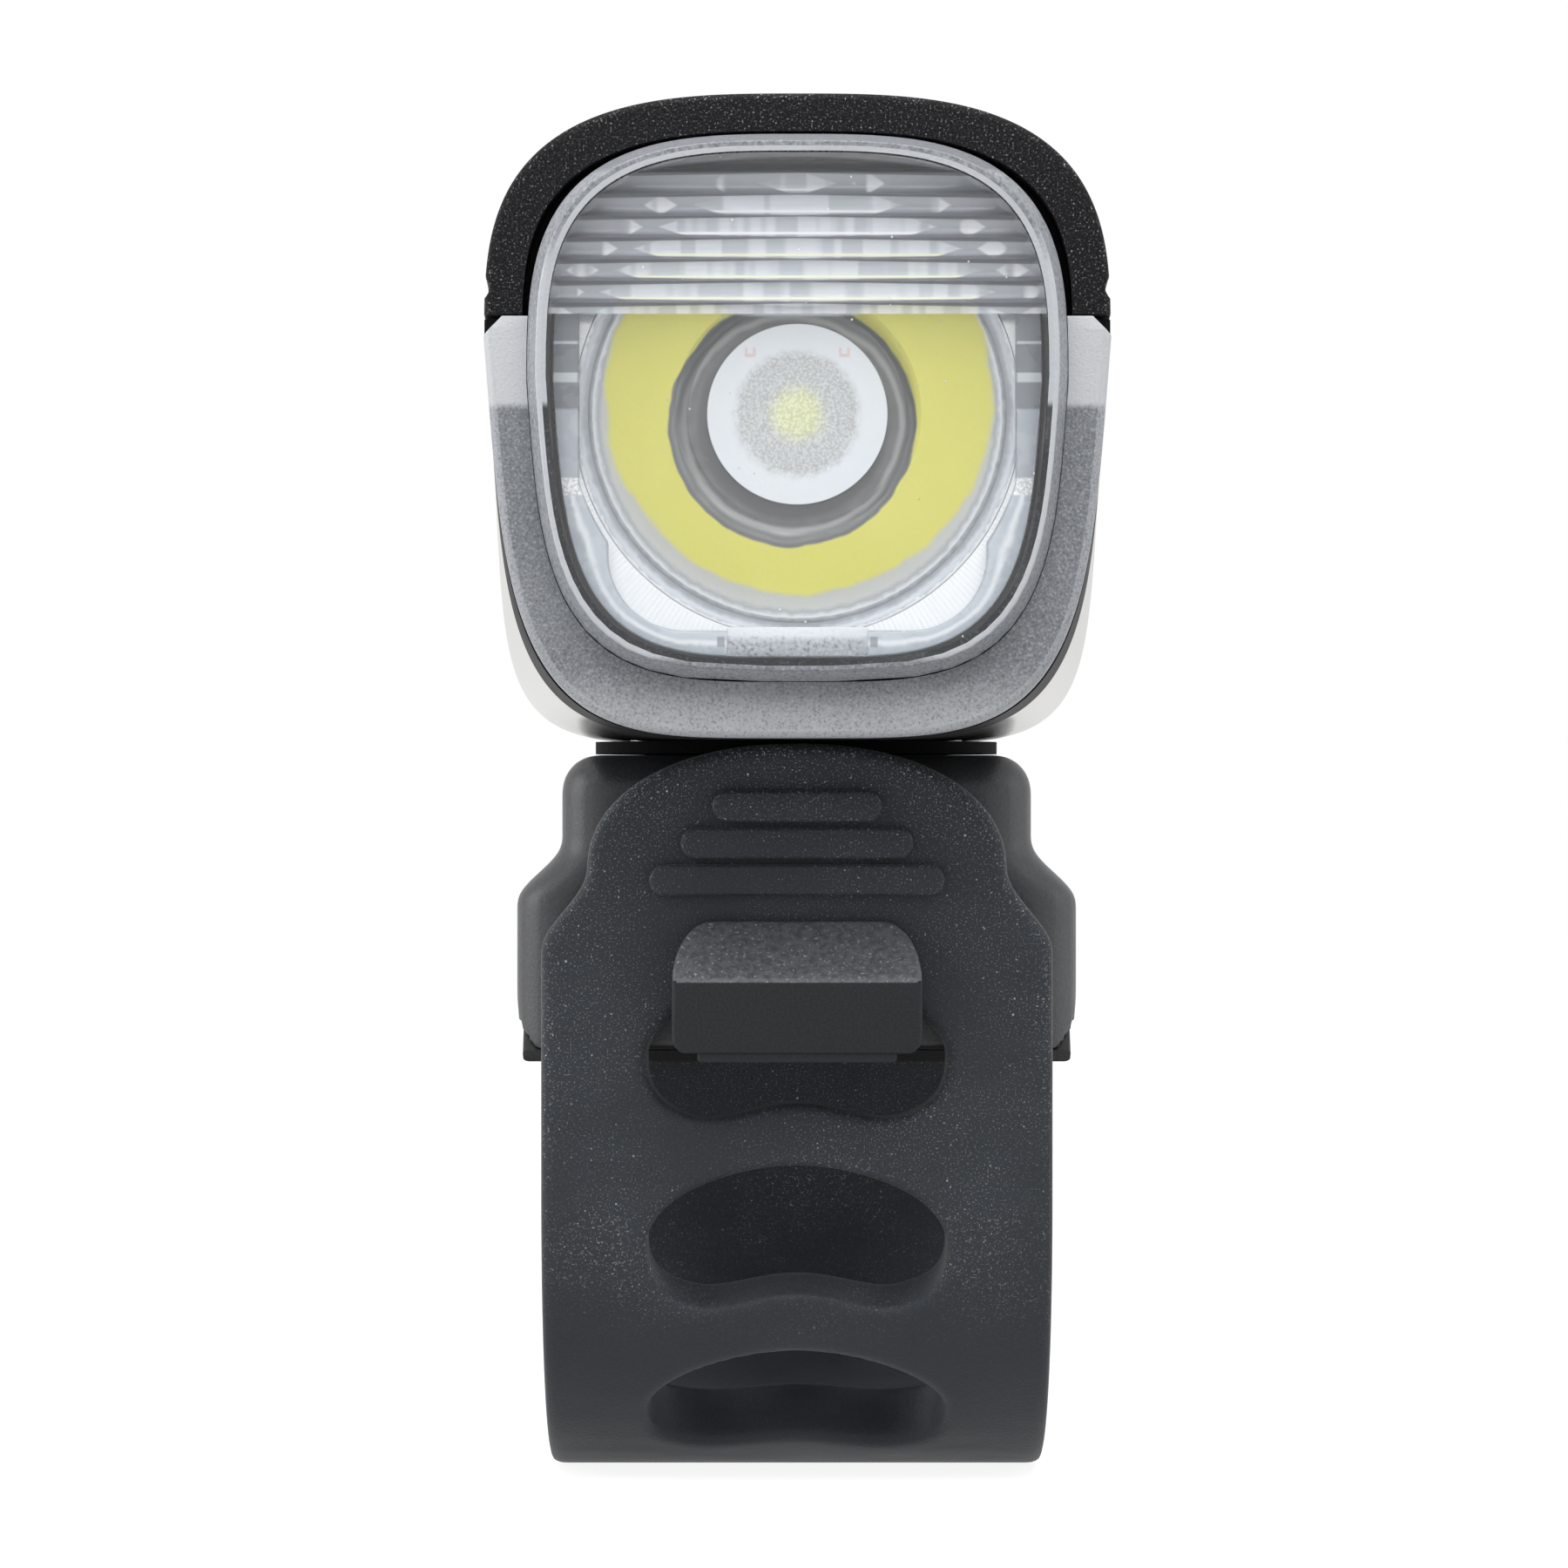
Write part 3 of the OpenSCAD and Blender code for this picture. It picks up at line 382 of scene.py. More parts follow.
@dataclass(frozen=True)
class DustyRubber(Finish):
    """Matte silicone, paler where it is handled, with dust above a level and most at its tip."""

    colour: Colour = (0.045, 0.049, 0.055)
    dust: float = 0.1
    bloom: float = 0.35
    wiped_z: float = -99.0
    tip_z: float = 99.0

    def paint(self, graph: Graph) -> None:
        """Writes the rubber into a new graph.

        Args:
            graph: The new graph.
        """
        skin = graph.noise(0.2, 3.0)
        cloud = graph.noise(8.0, 3.0)
        smear = graph.noise(1.6, 2.0, (3.0, 1.0, 0.7))
        dark, pale = scaled(self.colour, 0.62), scaled(self.colour, 1.6)
        wear = (cloud * 0.6 + smear * 0.4).rise(0.36, 0.68) * self.bloom
        base = graph.tone(wear + (skin - 0.5) * 0.5 + 0.2, dark, pale)
        if self.dust > 0:
            height = graph.axes()[2]
            left = height.rise(self.wiped_z - 3.0, self.wiped_z + 2.0)
            thick = (cloud.rise(0.34, 0.62) * 0.8 + 0.2) * left + height.rise(self.tip_z - 7.0, self.tip_z)
            powder = graph.noise(0.1, 1.0)
            grains = graph.specks(0.36, 0.055, self.dust)
            fibres = graph.specks(0.9, 0.08, self.dust * 0.6)
            dusty = powder.rise(0.56, 0.78) * 0.42 + grains * 0.8 + fibres * 0.9
            base = graph.tone((dusty * thick).least(1.0), base, (0.6, 0.62, 0.64))
        graph.coat({
            "Base Color": base,
            "Roughness": 0.58 + (smear - 0.5) * 0.2,
            "Specular IOR Level": 0.3,
            "Sheen Weight": 0.08,
            "Sheen Roughness": 0.5,
            "Normal": graph.relief(skin, 0.03),
        })


class Lay(Enum):
    """Direction of a metal's surface marks, as the stretch of its noise along X, Y and Z."""

    BLASTED = (1.0, 1.0, 1.0)
    ALONG_X = (30.0, 1.0, 1.0)
    ALONG_Y = (1.0, 30.0, 1.0)
    ALONG_Z = (1.0, 1.0, 30.0)


@dataclass(frozen=True)
class Metal(Finish):
    """Bare or plated metal with a fine lay and faint handling marks."""

    colour: Colour = (0.78, 0.78, 0.77)
    roughness: float = 0.38
    grain: float = 0.16
    lay: Lay = Lay.BLASTED

    def skin(self, graph: Graph, metal: Value) -> tuple[Value, Operand]:
        """Colour and metalness of the surface, given the bare metal's colour."""
        return metal, 1.0

    def paint(self, graph: Graph) -> None:
        """Writes the metal into a new graph.

        Args:
            graph: The new graph.
        """
        marks = graph.noise(self.grain, 2.0, self.lay.value)
        haze = graph.noise(9.0, 3.0)
        bare = graph.tone(marks * 0.5 + haze * 0.5, scaled(self.colour, 0.86), self.colour)
        base, metalness = self.skin(graph, bare)
        graph.coat({
            "Base Color": base,
            "Metallic": metalness,
            "Roughness": self.roughness + (marks - 0.5) * 0.14 + (haze - 0.5) * 0.12,
            "Normal": graph.relief(marks, 0.012),
        })


@dataclass(frozen=True)
class ShellMetal(Metal):
    """Metal shell with painted shade on its underside over the foot: a black, non-metal patch where the
    shell lies in shadow over the bracket.
    """

    shade_z: float = 26.3
    shade_half_w: float = 12.4
    shade_end: float = 32.0

    def skin(self, graph: Graph, metal: Value) -> tuple[Value, Operand]:
        """Colour and metalness of the shell and of the painted shade on its underside.

        Args:
            graph: The finish's graph.
            metal: Colour of the bare metal.

        Returns:
            The colour and the metalness.
        """
        x, y, z = graph.axes()
        # Painted shade: plate masks the underside over the foot, and grain is its near-black colour, laid
        # on without metalness.
        beside = abs(x) + z.rise(self.shade_z - 1.3, self.shade_z) * 0.8
        across = beside.rise(self.shade_half_w + 0.5, self.shade_half_w - 0.5)
        along = y.rise(self.shade_end, self.shade_end - 0.2)
        plate = across * z.rise(self.shade_z, self.shade_z - 0.3) * along
        grain = graph.tone(graph.noise(0.2, 2.0), (0.004, 0.004, 0.005), (0.012, 0.012, 0.013))
        return graph.tone(plate, metal, grain), 1 - plate


@dataclass(frozen=True)
class RibbedPlastic(Finish):
    """Clear dusty lens with its ribs' refraction painted on: pale ovals for the collimator's rim seen
    through them, painted highlights, and painted shade in the valleys and under the brow.
    """

    tint: Colour = (0.98, 0.988, 0.997)
    roughness: float = 0.03
    dust: float = 0.02
    rib_top: float = 54.96
    rib_pitch: float = 1.13
    rib_foot: float = 47.05
    face_y: float = -27.9
    inner_y: float = -27.2
    centre_z: float = BEAM_Z
    rim_r: float = 11.95

    def paint_ribs(self, graph: Graph, x: Value, z: Value) -> tuple[Value, Value]:
        """Painted refraction, highlights and shading of the ribs, and the painted shade of the valleys
        between them.

        Args:
            graph: The finish's graph.
            x: Place across the lens.
            z: Height.

        Returns:
            The colour and the share of painted shade.
        """
        place = (z - self.rib_foot) / self.rib_pitch + 0.5
        level = place.math("FLOOR")
        part = place - level
        valley = abs(part - 0.5) * 2
        rise = level * self.rib_pitch + (self.rib_foot - self.centre_z)
        reach = (self.rim_r ** 2 - rise ** 2).most(0.0) ** 0.5
        side = abs(x)
        where = graph.add("ShaderNodeCombineXYZ", None, {0: x, 1: level * 5.3})
        patches = graph.add("ShaderNodeTexNoise", None, {"Vector": where, "Scale": 0.8, "Detail": 1.0})
        cells = patches.rise(0.42, 0.54)
        # Painted shading: each rib darker below its crest and paler above it.
        rib_shading = graph.tone(part, (0.22, 0.24, 0.27), (0.6, 0.63, 0.67))
        # Painted glints just beyond the ends of the pale ovals, in scattered patches.
        painted_glint = abs(side - reach - 1.7) + valley * 0.9
        rib_shading = graph.tone(painted_glint.rise(1.0, 0.7) * cells, rib_shading, (0.8, 0.82, 0.85))
        # Pale ovals: painted refraction of the collimator's rim through each rib, with a painted highlight
        # band low on each rib, yellower on the lower ribs.
        pale = graph.tone(cells * 0.6 + part * 0.4, (0.43, 0.46, 0.5), (0.74, 0.765, 0.81))
        painted_gleam = graph.tone(level.rise(4.0, 3.0), (0.92, 0.94, 0.97), (0.84, 0.86, 0.58))
        pale = graph.tone(part.band(0.14, 0.26, 0.05), pale, painted_gleam)
        colour = graph.tone((reach - side - valley * 1.7).rise(-0.2, 0.2), rib_shading, pale)
        # Painted shade in the valleys, wider toward the sides.
        valley_shade = (valley + side * 0.03).rise(0.86, 0.98)
        return graph.tone(valley_shade * 0.9, colour, (0.15, 0.158, 0.175)), valley_shade

    def over(self, graph: Graph, glass: Value) -> Value:
        """Shader of the ribs' painted light and shade on the inner face and of the dust on the outer one,
        laid over the glass.

        Args:
            graph: The finish's graph.
            glass: Shader of the glass.

        Returns:
            The shader.
        """
        x, y, z = graph.axes()
        colour, valley_shade = self.paint_ribs(graph, x, z)
        # Painted look through the brow: grey above the top rib and a painted shadow under the brow.
        above = z - (self.rib_top - 0.6)
        colour = graph.tone(above.rise(0.0, 0.1), colour, (0.42, 0.44, 0.47))
        brow = above.rise(-0.02, 0.06) * (above + (x / 8.8) ** 2 * 0.85).rise(0.95, 0.75)
        colour = graph.tone(brow * 0.9, colour, (0.05, 0.053, 0.06))
        fluff = graph.specks(1.2, 0.09, 0.5) * y.rise(self.face_y, self.face_y - 0.05)
        colour = graph.tone(fluff, colour, (0.95, 0.95, 0.95))
        painted = graph.surface({"Base Color": colour, "Roughness": 0.3, "Coat Weight": 0.2})
        inner = y.rise(self.inner_y - 0.1, self.inner_y + 0.1)
        ribbed = z.rise(self.rib_foot - 0.02, self.rib_foot + 0.02) * inner
        share = (ribbed * (0.7 + valley_shade * 0.25)).most(fluff * 0.8)
        return graph.mixed(share, glass, painted)

    def paint(self, graph: Graph) -> None:
        """Writes the lens into a new graph; lamp light goes straight through it to what is behind.

        Args:
            graph: The new graph.
        """
        haze = graph.noise(2.5, 3.0)
        grains = graph.specks(0.8, 0.06, self.dust)
        glass = graph.surface({
            "Base Color": (*self.tint, 1.0),
            "Roughness": self.roughness + haze * 0.03 + grains * 0.5,
            "IOR": 1.49,
            "Transmission Weight": 1.0,
            "Normal": graph.relief(graph.noise(6.0, 1.0), 0.02),
        })
        open_way = graph.add("ShaderNodeBsdfTransparent", None, {"Color": (*self.tint, 1.0)})
        lamp_ray = graph.add("ShaderNodeLightPath", output="Is Shadow Ray")
        graph.output(graph.mixed(lamp_ray, self.over(graph, glass), open_way))


@dataclass(frozen=True)
class FrostedPlastic(Finish):
    """Spark-eroded translucent moulding, speckled and paler toward its foot; above a level it takes a
    second tone, painted light where nothing dark backs it and, on the lens rim, painted shade.
    """

    shade: Colour = (0.25, 0.265, 0.29)
    pale: Colour = (0.74, 0.76, 0.79)
    pale_from: float = 42.3
    grain: float = 0.14
    chin: float = 0.55
    bite: float = 1.0
    pale_to: float = 99.0
    fade: float = 1.6
    chin_top: float = 29.0
    chin_foot: float = 25.4

    def paint(self, graph: Graph) -> None:
        """Writes the frosted plastic into a new graph.

        Args:
            graph: The new graph.
        """
        _, _, height = graph.axes()
        grit = graph.noise(self.grain, 3.0)
        cloud = graph.noise(4.0, 3.0)
        # A second, painted tone between pale_from and pale_to, painted light or painted shade as each
        # finish sets it; below, the chin is paler toward the foot.
        painted_light = height.rise(self.pale_from - 0.25, self.pale_from + 0.25)
        painted_light = painted_light * height.rise(self.pale_to + self.fade, self.pale_to - self.fade)
        chin = height.rise(self.chin_top, self.chin_foot) * self.chin
        level = (painted_light + chin + (cloud - 0.5) * 0.4).most(0.0).least(1.0)
        base = graph.tone(level, self.shade, self.pale)
        crests = grit.rise(0.5, 0.74) * (1 - painted_light * 0.6)
        valleys = grit.rise(0.5, 0.28) * (1 - painted_light * 0.85)
        base = graph.tone(crests * (0.42 * self.bite), base, (0.72, 0.74, 0.77))
        base = graph.tone(valleys * (0.5 * self.bite), base, (0.06, 0.064, 0.072))
        graph.coat({
            "Base Color": base,
            "Roughness": 0.42 + (grit - 0.5) * 0.3,
            "Specular IOR Level": 0.5,
            "Normal": graph.relief(grit, 0.035),
        })


@dataclass(frozen=True)
class CollimatorPlastic(Finish):
    """Moulded collimator with painted optics: a painted reflection of its emitter's phosphor as a yellow
    ring round a clear well, painted highlights on its rim, a painted sheen and shadow in the well, and
    painted light above the ribs' foot.
    """

    centre_z: float = BEAM_Z
    core_r: float = 4.75
    well_r: float = 6.5
    reflection_r: float = 10.2
    span: float = 12.0
    rib_foot: float = 47.3
    reflection_at: Spot = (0.1, 0.8)
    collar_at: Spot = (-0.25, -0.5)
    shadow_at: Spot = (-0.22, -0.4)

    @staticmethod
    def distance(x: Value, up: Value, right: float, above: float) -> Value:
        """Distance from a point beside the axis."""
        return ((x - right) ** 2 + (up - above) ** 2) ** 0.5

    def rim_highlight_rings(self, graph: Graph, radius: Value) -> Value:
        """Grey rings of the clear rim with painted highlight lines, from the edge of the phosphor's
        reflection out to the painted highlight at the outer edge.

        Args:
            graph: The finish's graph.
            radius: Distance from the axis.

        Returns:
            The colour.
        """
        # Painted highlights: the bright stops at 10.7, 11.35 and 11.62 mm are highlight lines of the clear
        # rim.
        stops = (
            (9.0, (0.4, 0.41, 0.39)), (10.2, (0.5, 0.51, 0.48)), (10.45, (0.36, 0.38, 0.4)),
            (10.7, (0.66, 0.68, 0.7)), (10.95, (0.33, 0.35, 0.38)), (11.15, (0.4, 0.42, 0.45)),
            (11.35, (0.62, 0.65, 0.69)), (11.55, (0.55, 0.58, 0.62)), (11.62, (0.9, 0.91, 0.93)),
        )
        places = [(r / self.span, colour) for r, colour in stops]
        streak = (graph.noise(0.5, 2.0) - 0.5) * 0.35
        return graph.add("ShaderNodeValToRGB", {"stops": places}, {0: (radius + streak) / self.span})

    def collar(self, graph: Graph, x: Value, up: Value, base: Value) -> Value:
        """Grey collar between the phosphor's reflection and the core, a little low and to the left, with a
        painted sheen, dark edge lines and a painted shadow beside the core.

        Args:
            graph: The finish's graph.
            x: Place across.
            up: Height over the axis.
            base: Colour below it.

        Returns:
            The colour.
        """
        around = self.distance(x, up, *self.collar_at) + (graph.noise(2.2, 2.0) - 0.5) * 0.5
        warm = graph.tone(graph.noise(1.1, 2.0), (0.14, 0.145, 0.145), (0.24, 0.245, 0.245))
        # Painted sheen: a paler band just inside the brim.
        sheen = around.band(self.well_r - 0.95, self.well_r - 0.65, 0.14)
        warm = graph.tone(sheen * 0.6, warm, (0.52, 0.52, 0.51))
        base = graph.tone(around.rise(self.well_r + 0.08, self.well_r - 0.08), base, warm)
        edge = around.band(self.well_r - 0.2, self.well_r - 0.02, 0.08)
        inner_edge = around.band(self.well_r - 0.5, self.well_r - 0.4, 0.08)
        base = graph.tone(edge * 0.7 + inner_edge * 0.35, base, (0.1, 0.1, 0.105))
        shadow = self.distance(x, up, *self.shadow_at).rise(self.core_r + 0.5, self.core_r + 0.1)
        return graph.tone(shadow * 0.8, base, (0.13, 0.135, 0.14))

    def core(self, graph: Graph, x: Value, up: Value, radius: Value, base: Value) -> Value:
        """White core with a frosted middle, a soft yellow dot and two faint red marks.

        Args:
            graph: The finish's graph.
            x: Place across.
            up: Height over the axis.
            radius: Distance from the axis.
            base: Colour below it.

        Returns:
            The colour.
        """
        base = graph.tone(radius.rise(self.core_r + 0.05, self.core_r - 0.05), base, (0.74, 0.77, 0.8))
        side = abs(x)
        square = side.band(2.2, 2.75, 0.08) * up.band(3.0, 3.5, 0.08)
        notch = side.band(2.32, 2.63, 0.06) * up.band(3.15, 3.7, 0.06)
        base = graph.tone((square - notch) * 0.55, base, (0.72, 0.36, 0.3))
        grit = graph.noise(0.13, 2.0).rise(0.36, 0.66)
        frost = graph.tone(grit, (0.36, 0.37, 0.37), (0.6, 0.61, 0.6))
        ragged = radius + (graph.noise(0.6, 2.0) - 0.5) * 0.6
        base = graph.tone(ragged.rise(3.6, 2.9) * 0.8, base, frost)
        dot = graph.tone(grit, (0.62, 0.64, 0.34), (0.8, 0.82, 0.5))
        return graph.tone(ragged.rise(1.9, 0.7) * 0.85, base, dot)

    def paint(self, graph: Graph) -> None:
        """Writes the collimator into a new graph.

        Args:
            graph: The new graph.
        """
        x, _, z = graph.axes()
        up = z - self.centre_z
        radius = self.distance(x, up, 0.0, 0.0)
        # Painted reflection of the phosphor: a yellow ring round the well, darker toward its foot.
        reflection_edge = self.distance(x, up, *self.reflection_at) + (graph.noise(2.6, 3.0) - 0.5) * 0.9
        strength = graph.noise(4.5, 2.0) * 0.6 + up.rise(-11.0, -3.0) * 0.3
        phosphor_reflection = graph.tone(strength, (0.57, 0.545, 0.075), (0.67, 0.645, 0.15))
        painted_light = reflection_edge.rise(self.reflection_r + 0.2, self.reflection_r - 0.2)
        base = graph.tone(painted_light, self.rim_highlight_rings(graph, radius), phosphor_reflection)
        base = self.collar(graph, x, up, base)
        base = self.core(graph, x, up, radius, base)
        # Painted light: paler above the ribs' foot, where the collimator is seen through the ribs.
        pale = graph.tone(graph.noise(1.6, 2.0), (0.74, 0.77, 0.81), (0.92, 0.93, 0.95))
        base = graph.tone(z.rise(self.rib_foot - 0.1, self.rib_foot + 0.1), base, pale)
        graph.coat({
            "Base Color": base,
            "Roughness": 0.16 + radius.rise(3.4, 3.0) * 0.4,
            "Coat Weight": 0.35,
            "Coat Roughness": 0.04,
            "Normal": graph.relief(graph.noise(0.3, 2.0), 0.015),
        })


@dataclass(frozen=True)
class TrayPlastic(Finish):
    """Pale satin moulding with fine lines that fan out from the collimator, and painted shade above it,
    greyer behind the ribs under the hood.
    """

    centre_z: float = BEAM_Z
    colour: Colour = (0.95, 0.965, 0.98)
    grey: Colour = (0.34, 0.36, 0.39)
    grey_from: float = 46.8
    lines: int = 300

    def paint(self, graph: Graph) -> None:
        """Writes the tray into a new graph.

        Args:
            graph: The new graph.
        """
        x, _, z = graph.axes()
        angle = x.math("ARCTAN2", z - self.centre_z)
        fan = (angle * self.lines).sine() * 0.5 + 0.5
        cloud = graph.noise(2.2, 2.0)
        base = graph.tone(cloud * 0.6 + fan * 0.4, scaled(self.colour, 0.93), self.colour)
        # Painted shade: greyer above grey_from, behind the ribs.
        painted_tray_shade = graph.tone(cloud, scaled(self.grey, 0.6), scaled(self.grey, 1.4))
        base = graph.tone(z.rise(self.grey_from - 0.2, self.grey_from + 0.2), base, painted_tray_shade)
        graph.coat({
            "Base Color": base,
            "Roughness": 0.32 + cloud * 0.14,
            "Normal": graph.relief(fan, 0.02),
        })


@dataclass(frozen=True)
class BandPlastic(Finish):
    """Half-clear band inside the lens: a painted highlight along it for light refracted in the band, a dark
    inner edge and greyer upper posts.
    """

    ACROSS = "across"
    block_low: float = 37.7
    block_high: float = 38.6
    post_step: float = 42.2
    wide_gap: Spot = (43.6, 44.1)
    thin_gap: Spot = (45.6, 45.75)
    clip_x: Spot = (3.8, 4.2)
    clip_z: Spot = (29.75, 30.3)

    def paint(self, graph: Graph) -> None:
        """Writes the band into a new graph.

        Args:
            graph: The new graph.
        """
        x, _, z = graph.axes()
        across = graph.add("ShaderNodeAttribute", {"attribute_name": self.ACROSS}, output="Fac")
        cloud = graph.noise(1.3, 3.0)
        body = graph.tone(cloud, (0.42, 0.46, 0.51), (0.6, 0.64, 0.68))
        # Painted highlight: the pale streak along the band stands for light refracted in it.
        streak = (across + (cloud - 0.5) * 0.3).band(0.36, 0.58, 0.1)
        base = graph.tone(streak * 0.8, body, (0.86, 0.88, 0.9))
        post = graph.tone(cloud, (0.34, 0.37, 0.41), (0.5, 0.53, 0.57))
        dark = graph.tone(cloud, (0.13, 0.14, 0.155), (0.26, 0.28, 0.31))
        post = graph.tone(z.rise(self.post_step - 0.1, self.post_step + 0.1), post, dark)
        gaps = z.band(*self.wide_gap, 0.06) + z.band(*self.thin_gap, 0.05)
        post = graph.tone(gaps * 0.7, post, (0.7, 0.73, 0.76))
        base = graph.tone(z.rise(self.block_high - 0.05, self.block_high + 0.05), base, post)
        grit = graph.noise(0.16, 2.0).rise(0.35, 0.65)
        sugar = graph.tone(grit, (0.6, 0.62, 0.64), (0.95, 0.96, 0.97))
        base = graph.tone(z.band(self.block_low, self.block_high, 0.05), base, sugar)
        clips = abs(x).band(*self.clip_x, 0.06) * z.band(*self.clip_z, 0.06)
        lines = across.rise(0.9, 0.97) * 0.55 + clips * 0.75
        graph.coat({
            "Base Color": graph.tone(lines, base, (0.2, 0.21, 0.23)),
            "Roughness": 0.2 + cloud * 0.15,
            "Coat Weight": 0.3,
            "Normal": graph.relief(cloud, 0.04),
        })


@dataclass(frozen=True)
class Lacquer(Finish):
    """Thin glossy skin over a plain body, as on a board, a wire or a cell."""

    colour: Colour = (0.5, 0.5, 0.5)
    roughness: float = 0.3
    grain: float = 0.6

    def paint(self, graph: Graph) -> None:
        """Writes the lacquer into a new graph.

        Args:
            graph: The new graph.
        """
        cloud = graph.noise(self.grain * 8, 2.0)
        peel = graph.noise(self.grain, 1.0)
        graph.coat({
            "Base Color": graph.tone(cloud, scaled(self.colour, 0.7), self.colour),
            "Roughness": self.roughness + (cloud - 0.5) * 0.12,
            "Coat Weight": 0.3,
            "Normal": graph.relief(peel, 0.02),
        })


class Finishes:
    """Every finish that the headlight uses."""

    COVER = GrainyPlastic(
        "cover_plastic", "cover_plastic", (0.008, 0.008, 0.009), 0.6, 0.26, 0.06, 1.0, 0.12
    )
    BLACK = GrainyPlastic(
        "black_plastic", "black_plastic", (0.007, 0.007, 0.008), 0.55, 0.2, 0.03, 0.0, 0.12
    )
    BRACKET = GrainyPlastic(
        "bracket_plastic", "bracket_plastic", (0.03, 0.032, 0.036), 0.42, 0.16, 0.02, 0.12, 0.6
    )
    # Painted shade: the foot's black plastic, painted darker than the black plastic elsewhere for the shade
    # it lies in under the lamp.
    FOOT_SHADED = GrainyPlastic("foot_shaded_plastic", "black_plastic", (0.003, 0.003, 0.0035), 0.7, 0.2, 0.03, 0.0, 0.05)
    # Darker and lighter copies of the bracket's plastic: the hook's upward slope takes painted light and
    # its other faces painted shade.
    HOOK_SHADED = GrainyPlastic(
        "hook_shaded_face", "bracket_plastic", (0.016, 0.0175, 0.02), 0.5, 0.14, 0.01, 0.0, 0.25
    )
    HOOK_LIT = GrainyPlastic(
        "hook_lit_slope", "bracket_plastic", (0.1, 0.109, 0.118), 0.45, 0.34, 0.07, 0.9, 0.5
    )
    STRAP = DustyRubber(
        "strap_rubber", "strap_rubber", (0.029, 0.034, 0.041), 0.3, wiped_z=-6.0, tip_z=24.0
    )
    SEAL = DustyRubber("seal_rubber", "seal_rubber", (0.014, 0.014, 0.015), 0.0, 0.2)
    BUTTON = DustyRubber("button_rubber", "button_rubber", (0.05, 0.052, 0.056), 0.03, 0.3)
    FOAM = DustyRubber("foam", "foam", (0.07, 0.07, 0.07), 0.0, 0.8)
    SHELL = ShellMetal("shell_aluminium", "shell_aluminium", (0.63, 0.625, 0.61), 0.4, 0.14)
    SINK = Metal("sink_aluminium", "sink_aluminium", (0.7, 0.7, 0.72), 0.3, 0.2, Lay.ALONG_X)
    SCREW = Metal("screw_steel", "screw_steel", (0.52, 0.52, 0.53), 0.3, 0.12, Lay.ALONG_Z)
    NICKEL = Metal("nickel", "nickel", (0.55, 0.54, 0.5), 0.3, 0.2, Lay.ALONG_Z)
    SWITCH = Metal("switch_metal", "switch_metal", (0.45, 0.46, 0.47), 0.34, 0.2, Lay.ALONG_X)
    SOCKET = Metal("socket_steel", "socket_steel", (0.6, 0.6, 0.61), 0.28, 0.2, Lay.ALONG_Y)
    LENS = RibbedPlastic("lens_plastic", "clear_plastic")
    PIPE = FrostedPlastic("pipe_plastic", "clear_plastic", (0.5, 0.52, 0.55), (0.62, 0.64, 0.67))
    # Frosted window: painted light above 42.3 mm, where nothing dark backs it, and paler toward its foot.
    FROST = FrostedPlastic("frosted_plastic", "frosted_plastic")
    # Lens rim's slope: darker above 54.5 mm, painted shade on the top of the rim.
    RIM = FrostedPlastic(
        "lens_rim", "frosted_plastic", (0.4, 0.42, 0.45), (0.27, 0.285, 0.31), 54.5, 0.18, 0.0, 1.1
    )
    # Painted highlight: a lighter copy of the frosted plastic for the window's bevelled front edge.
    WINDOW_EDGE = FrostedPlastic("window_edge", "frosted_plastic", (0.42, 0.44, 0.47), (0.7, 0.72, 0.75))
    # Painted light on the clear lens: the wall behind the face is pale for light carried in the clear edge.
    LENS_WALL = Lacquer("lens_wall", "clear_plastic", (0.72, 0.75, 0.79), 0.3, 0.3)
    # Inner strip round the lens face: a dark painted line below 42.3 mm and painted light above it.
    LENS_LINE = FrostedPlastic(
        "lens_line", "clear_plastic", (0.03, 0.032, 0.036), (0.64, 0.67, 0.71), 42.3, 0.2, 0.0, 0.25
    )
    # Outer strip round the lens face: painted light between 29.1 and about 50.5 mm, grey at its foot and
    # its top.
    LENS_RING = FrostedPlastic(
        "lens_ring", "clear_plastic", (0.3, 0.315, 0.34), (0.68, 0.71, 0.75), 29.1, 0.18, 0.0, 1.0, 50.5
    )
    BAND = BandPlastic("band_plastic", "pale_plastic")
    TAB = FrostedPlastic(
        "tab_plastic", "pale_plastic", (0.44, 0.46, 0.49), (0.72, 0.74, 0.77), 30.2, 0.22, 0.0, 1.3
    )
    OPTIC = CollimatorPlastic("optic_plastic", "optic_plastic")
    TRAY = TrayPlastic("pale_plastic", "pale_plastic")
    PHOSPHOR = Lacquer("phosphor", "phosphor", (0.75, 0.68, 0.16), 0.4, 0.3)
    WHITE_BOARD = Lacquer("white_board", "white_board", (0.85, 0.86, 0.86), 0.35)
    GREEN_BOARD = Lacquer("green_board", "green_board", (0.02, 0.16, 0.06), 0.3)
    WIRE = Lacquer("wire_jacket", "wire_jacket", (0.4, 0.03, 0.03), 0.35)
    CELL = Lacquer("cell_wrap", "cell_wrap", (0.05, 0.15, 0.38), 0.25)


def box_mm(node: str) -> tuple[Vector, Vector]:
    """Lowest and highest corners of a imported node, in millimetres."""
    low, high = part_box(node)
    return low / MM, high / MM


def quarter(count: int) -> Points:
    """Angles over a quarter turn."""
    return np.linspace(0, math.pi / 2, count)


def full_turn(count: int) -> Points:
    """Angles round a full turn."""
    return np.linspace(0, 2 * math.pi, count, endpoint=False)


def mirrored(right: Points) -> Points:
    """A right-hand line and its mirror image, as one loop."""
    return np.vstack([right, right[::-1] * [-1, 1]])


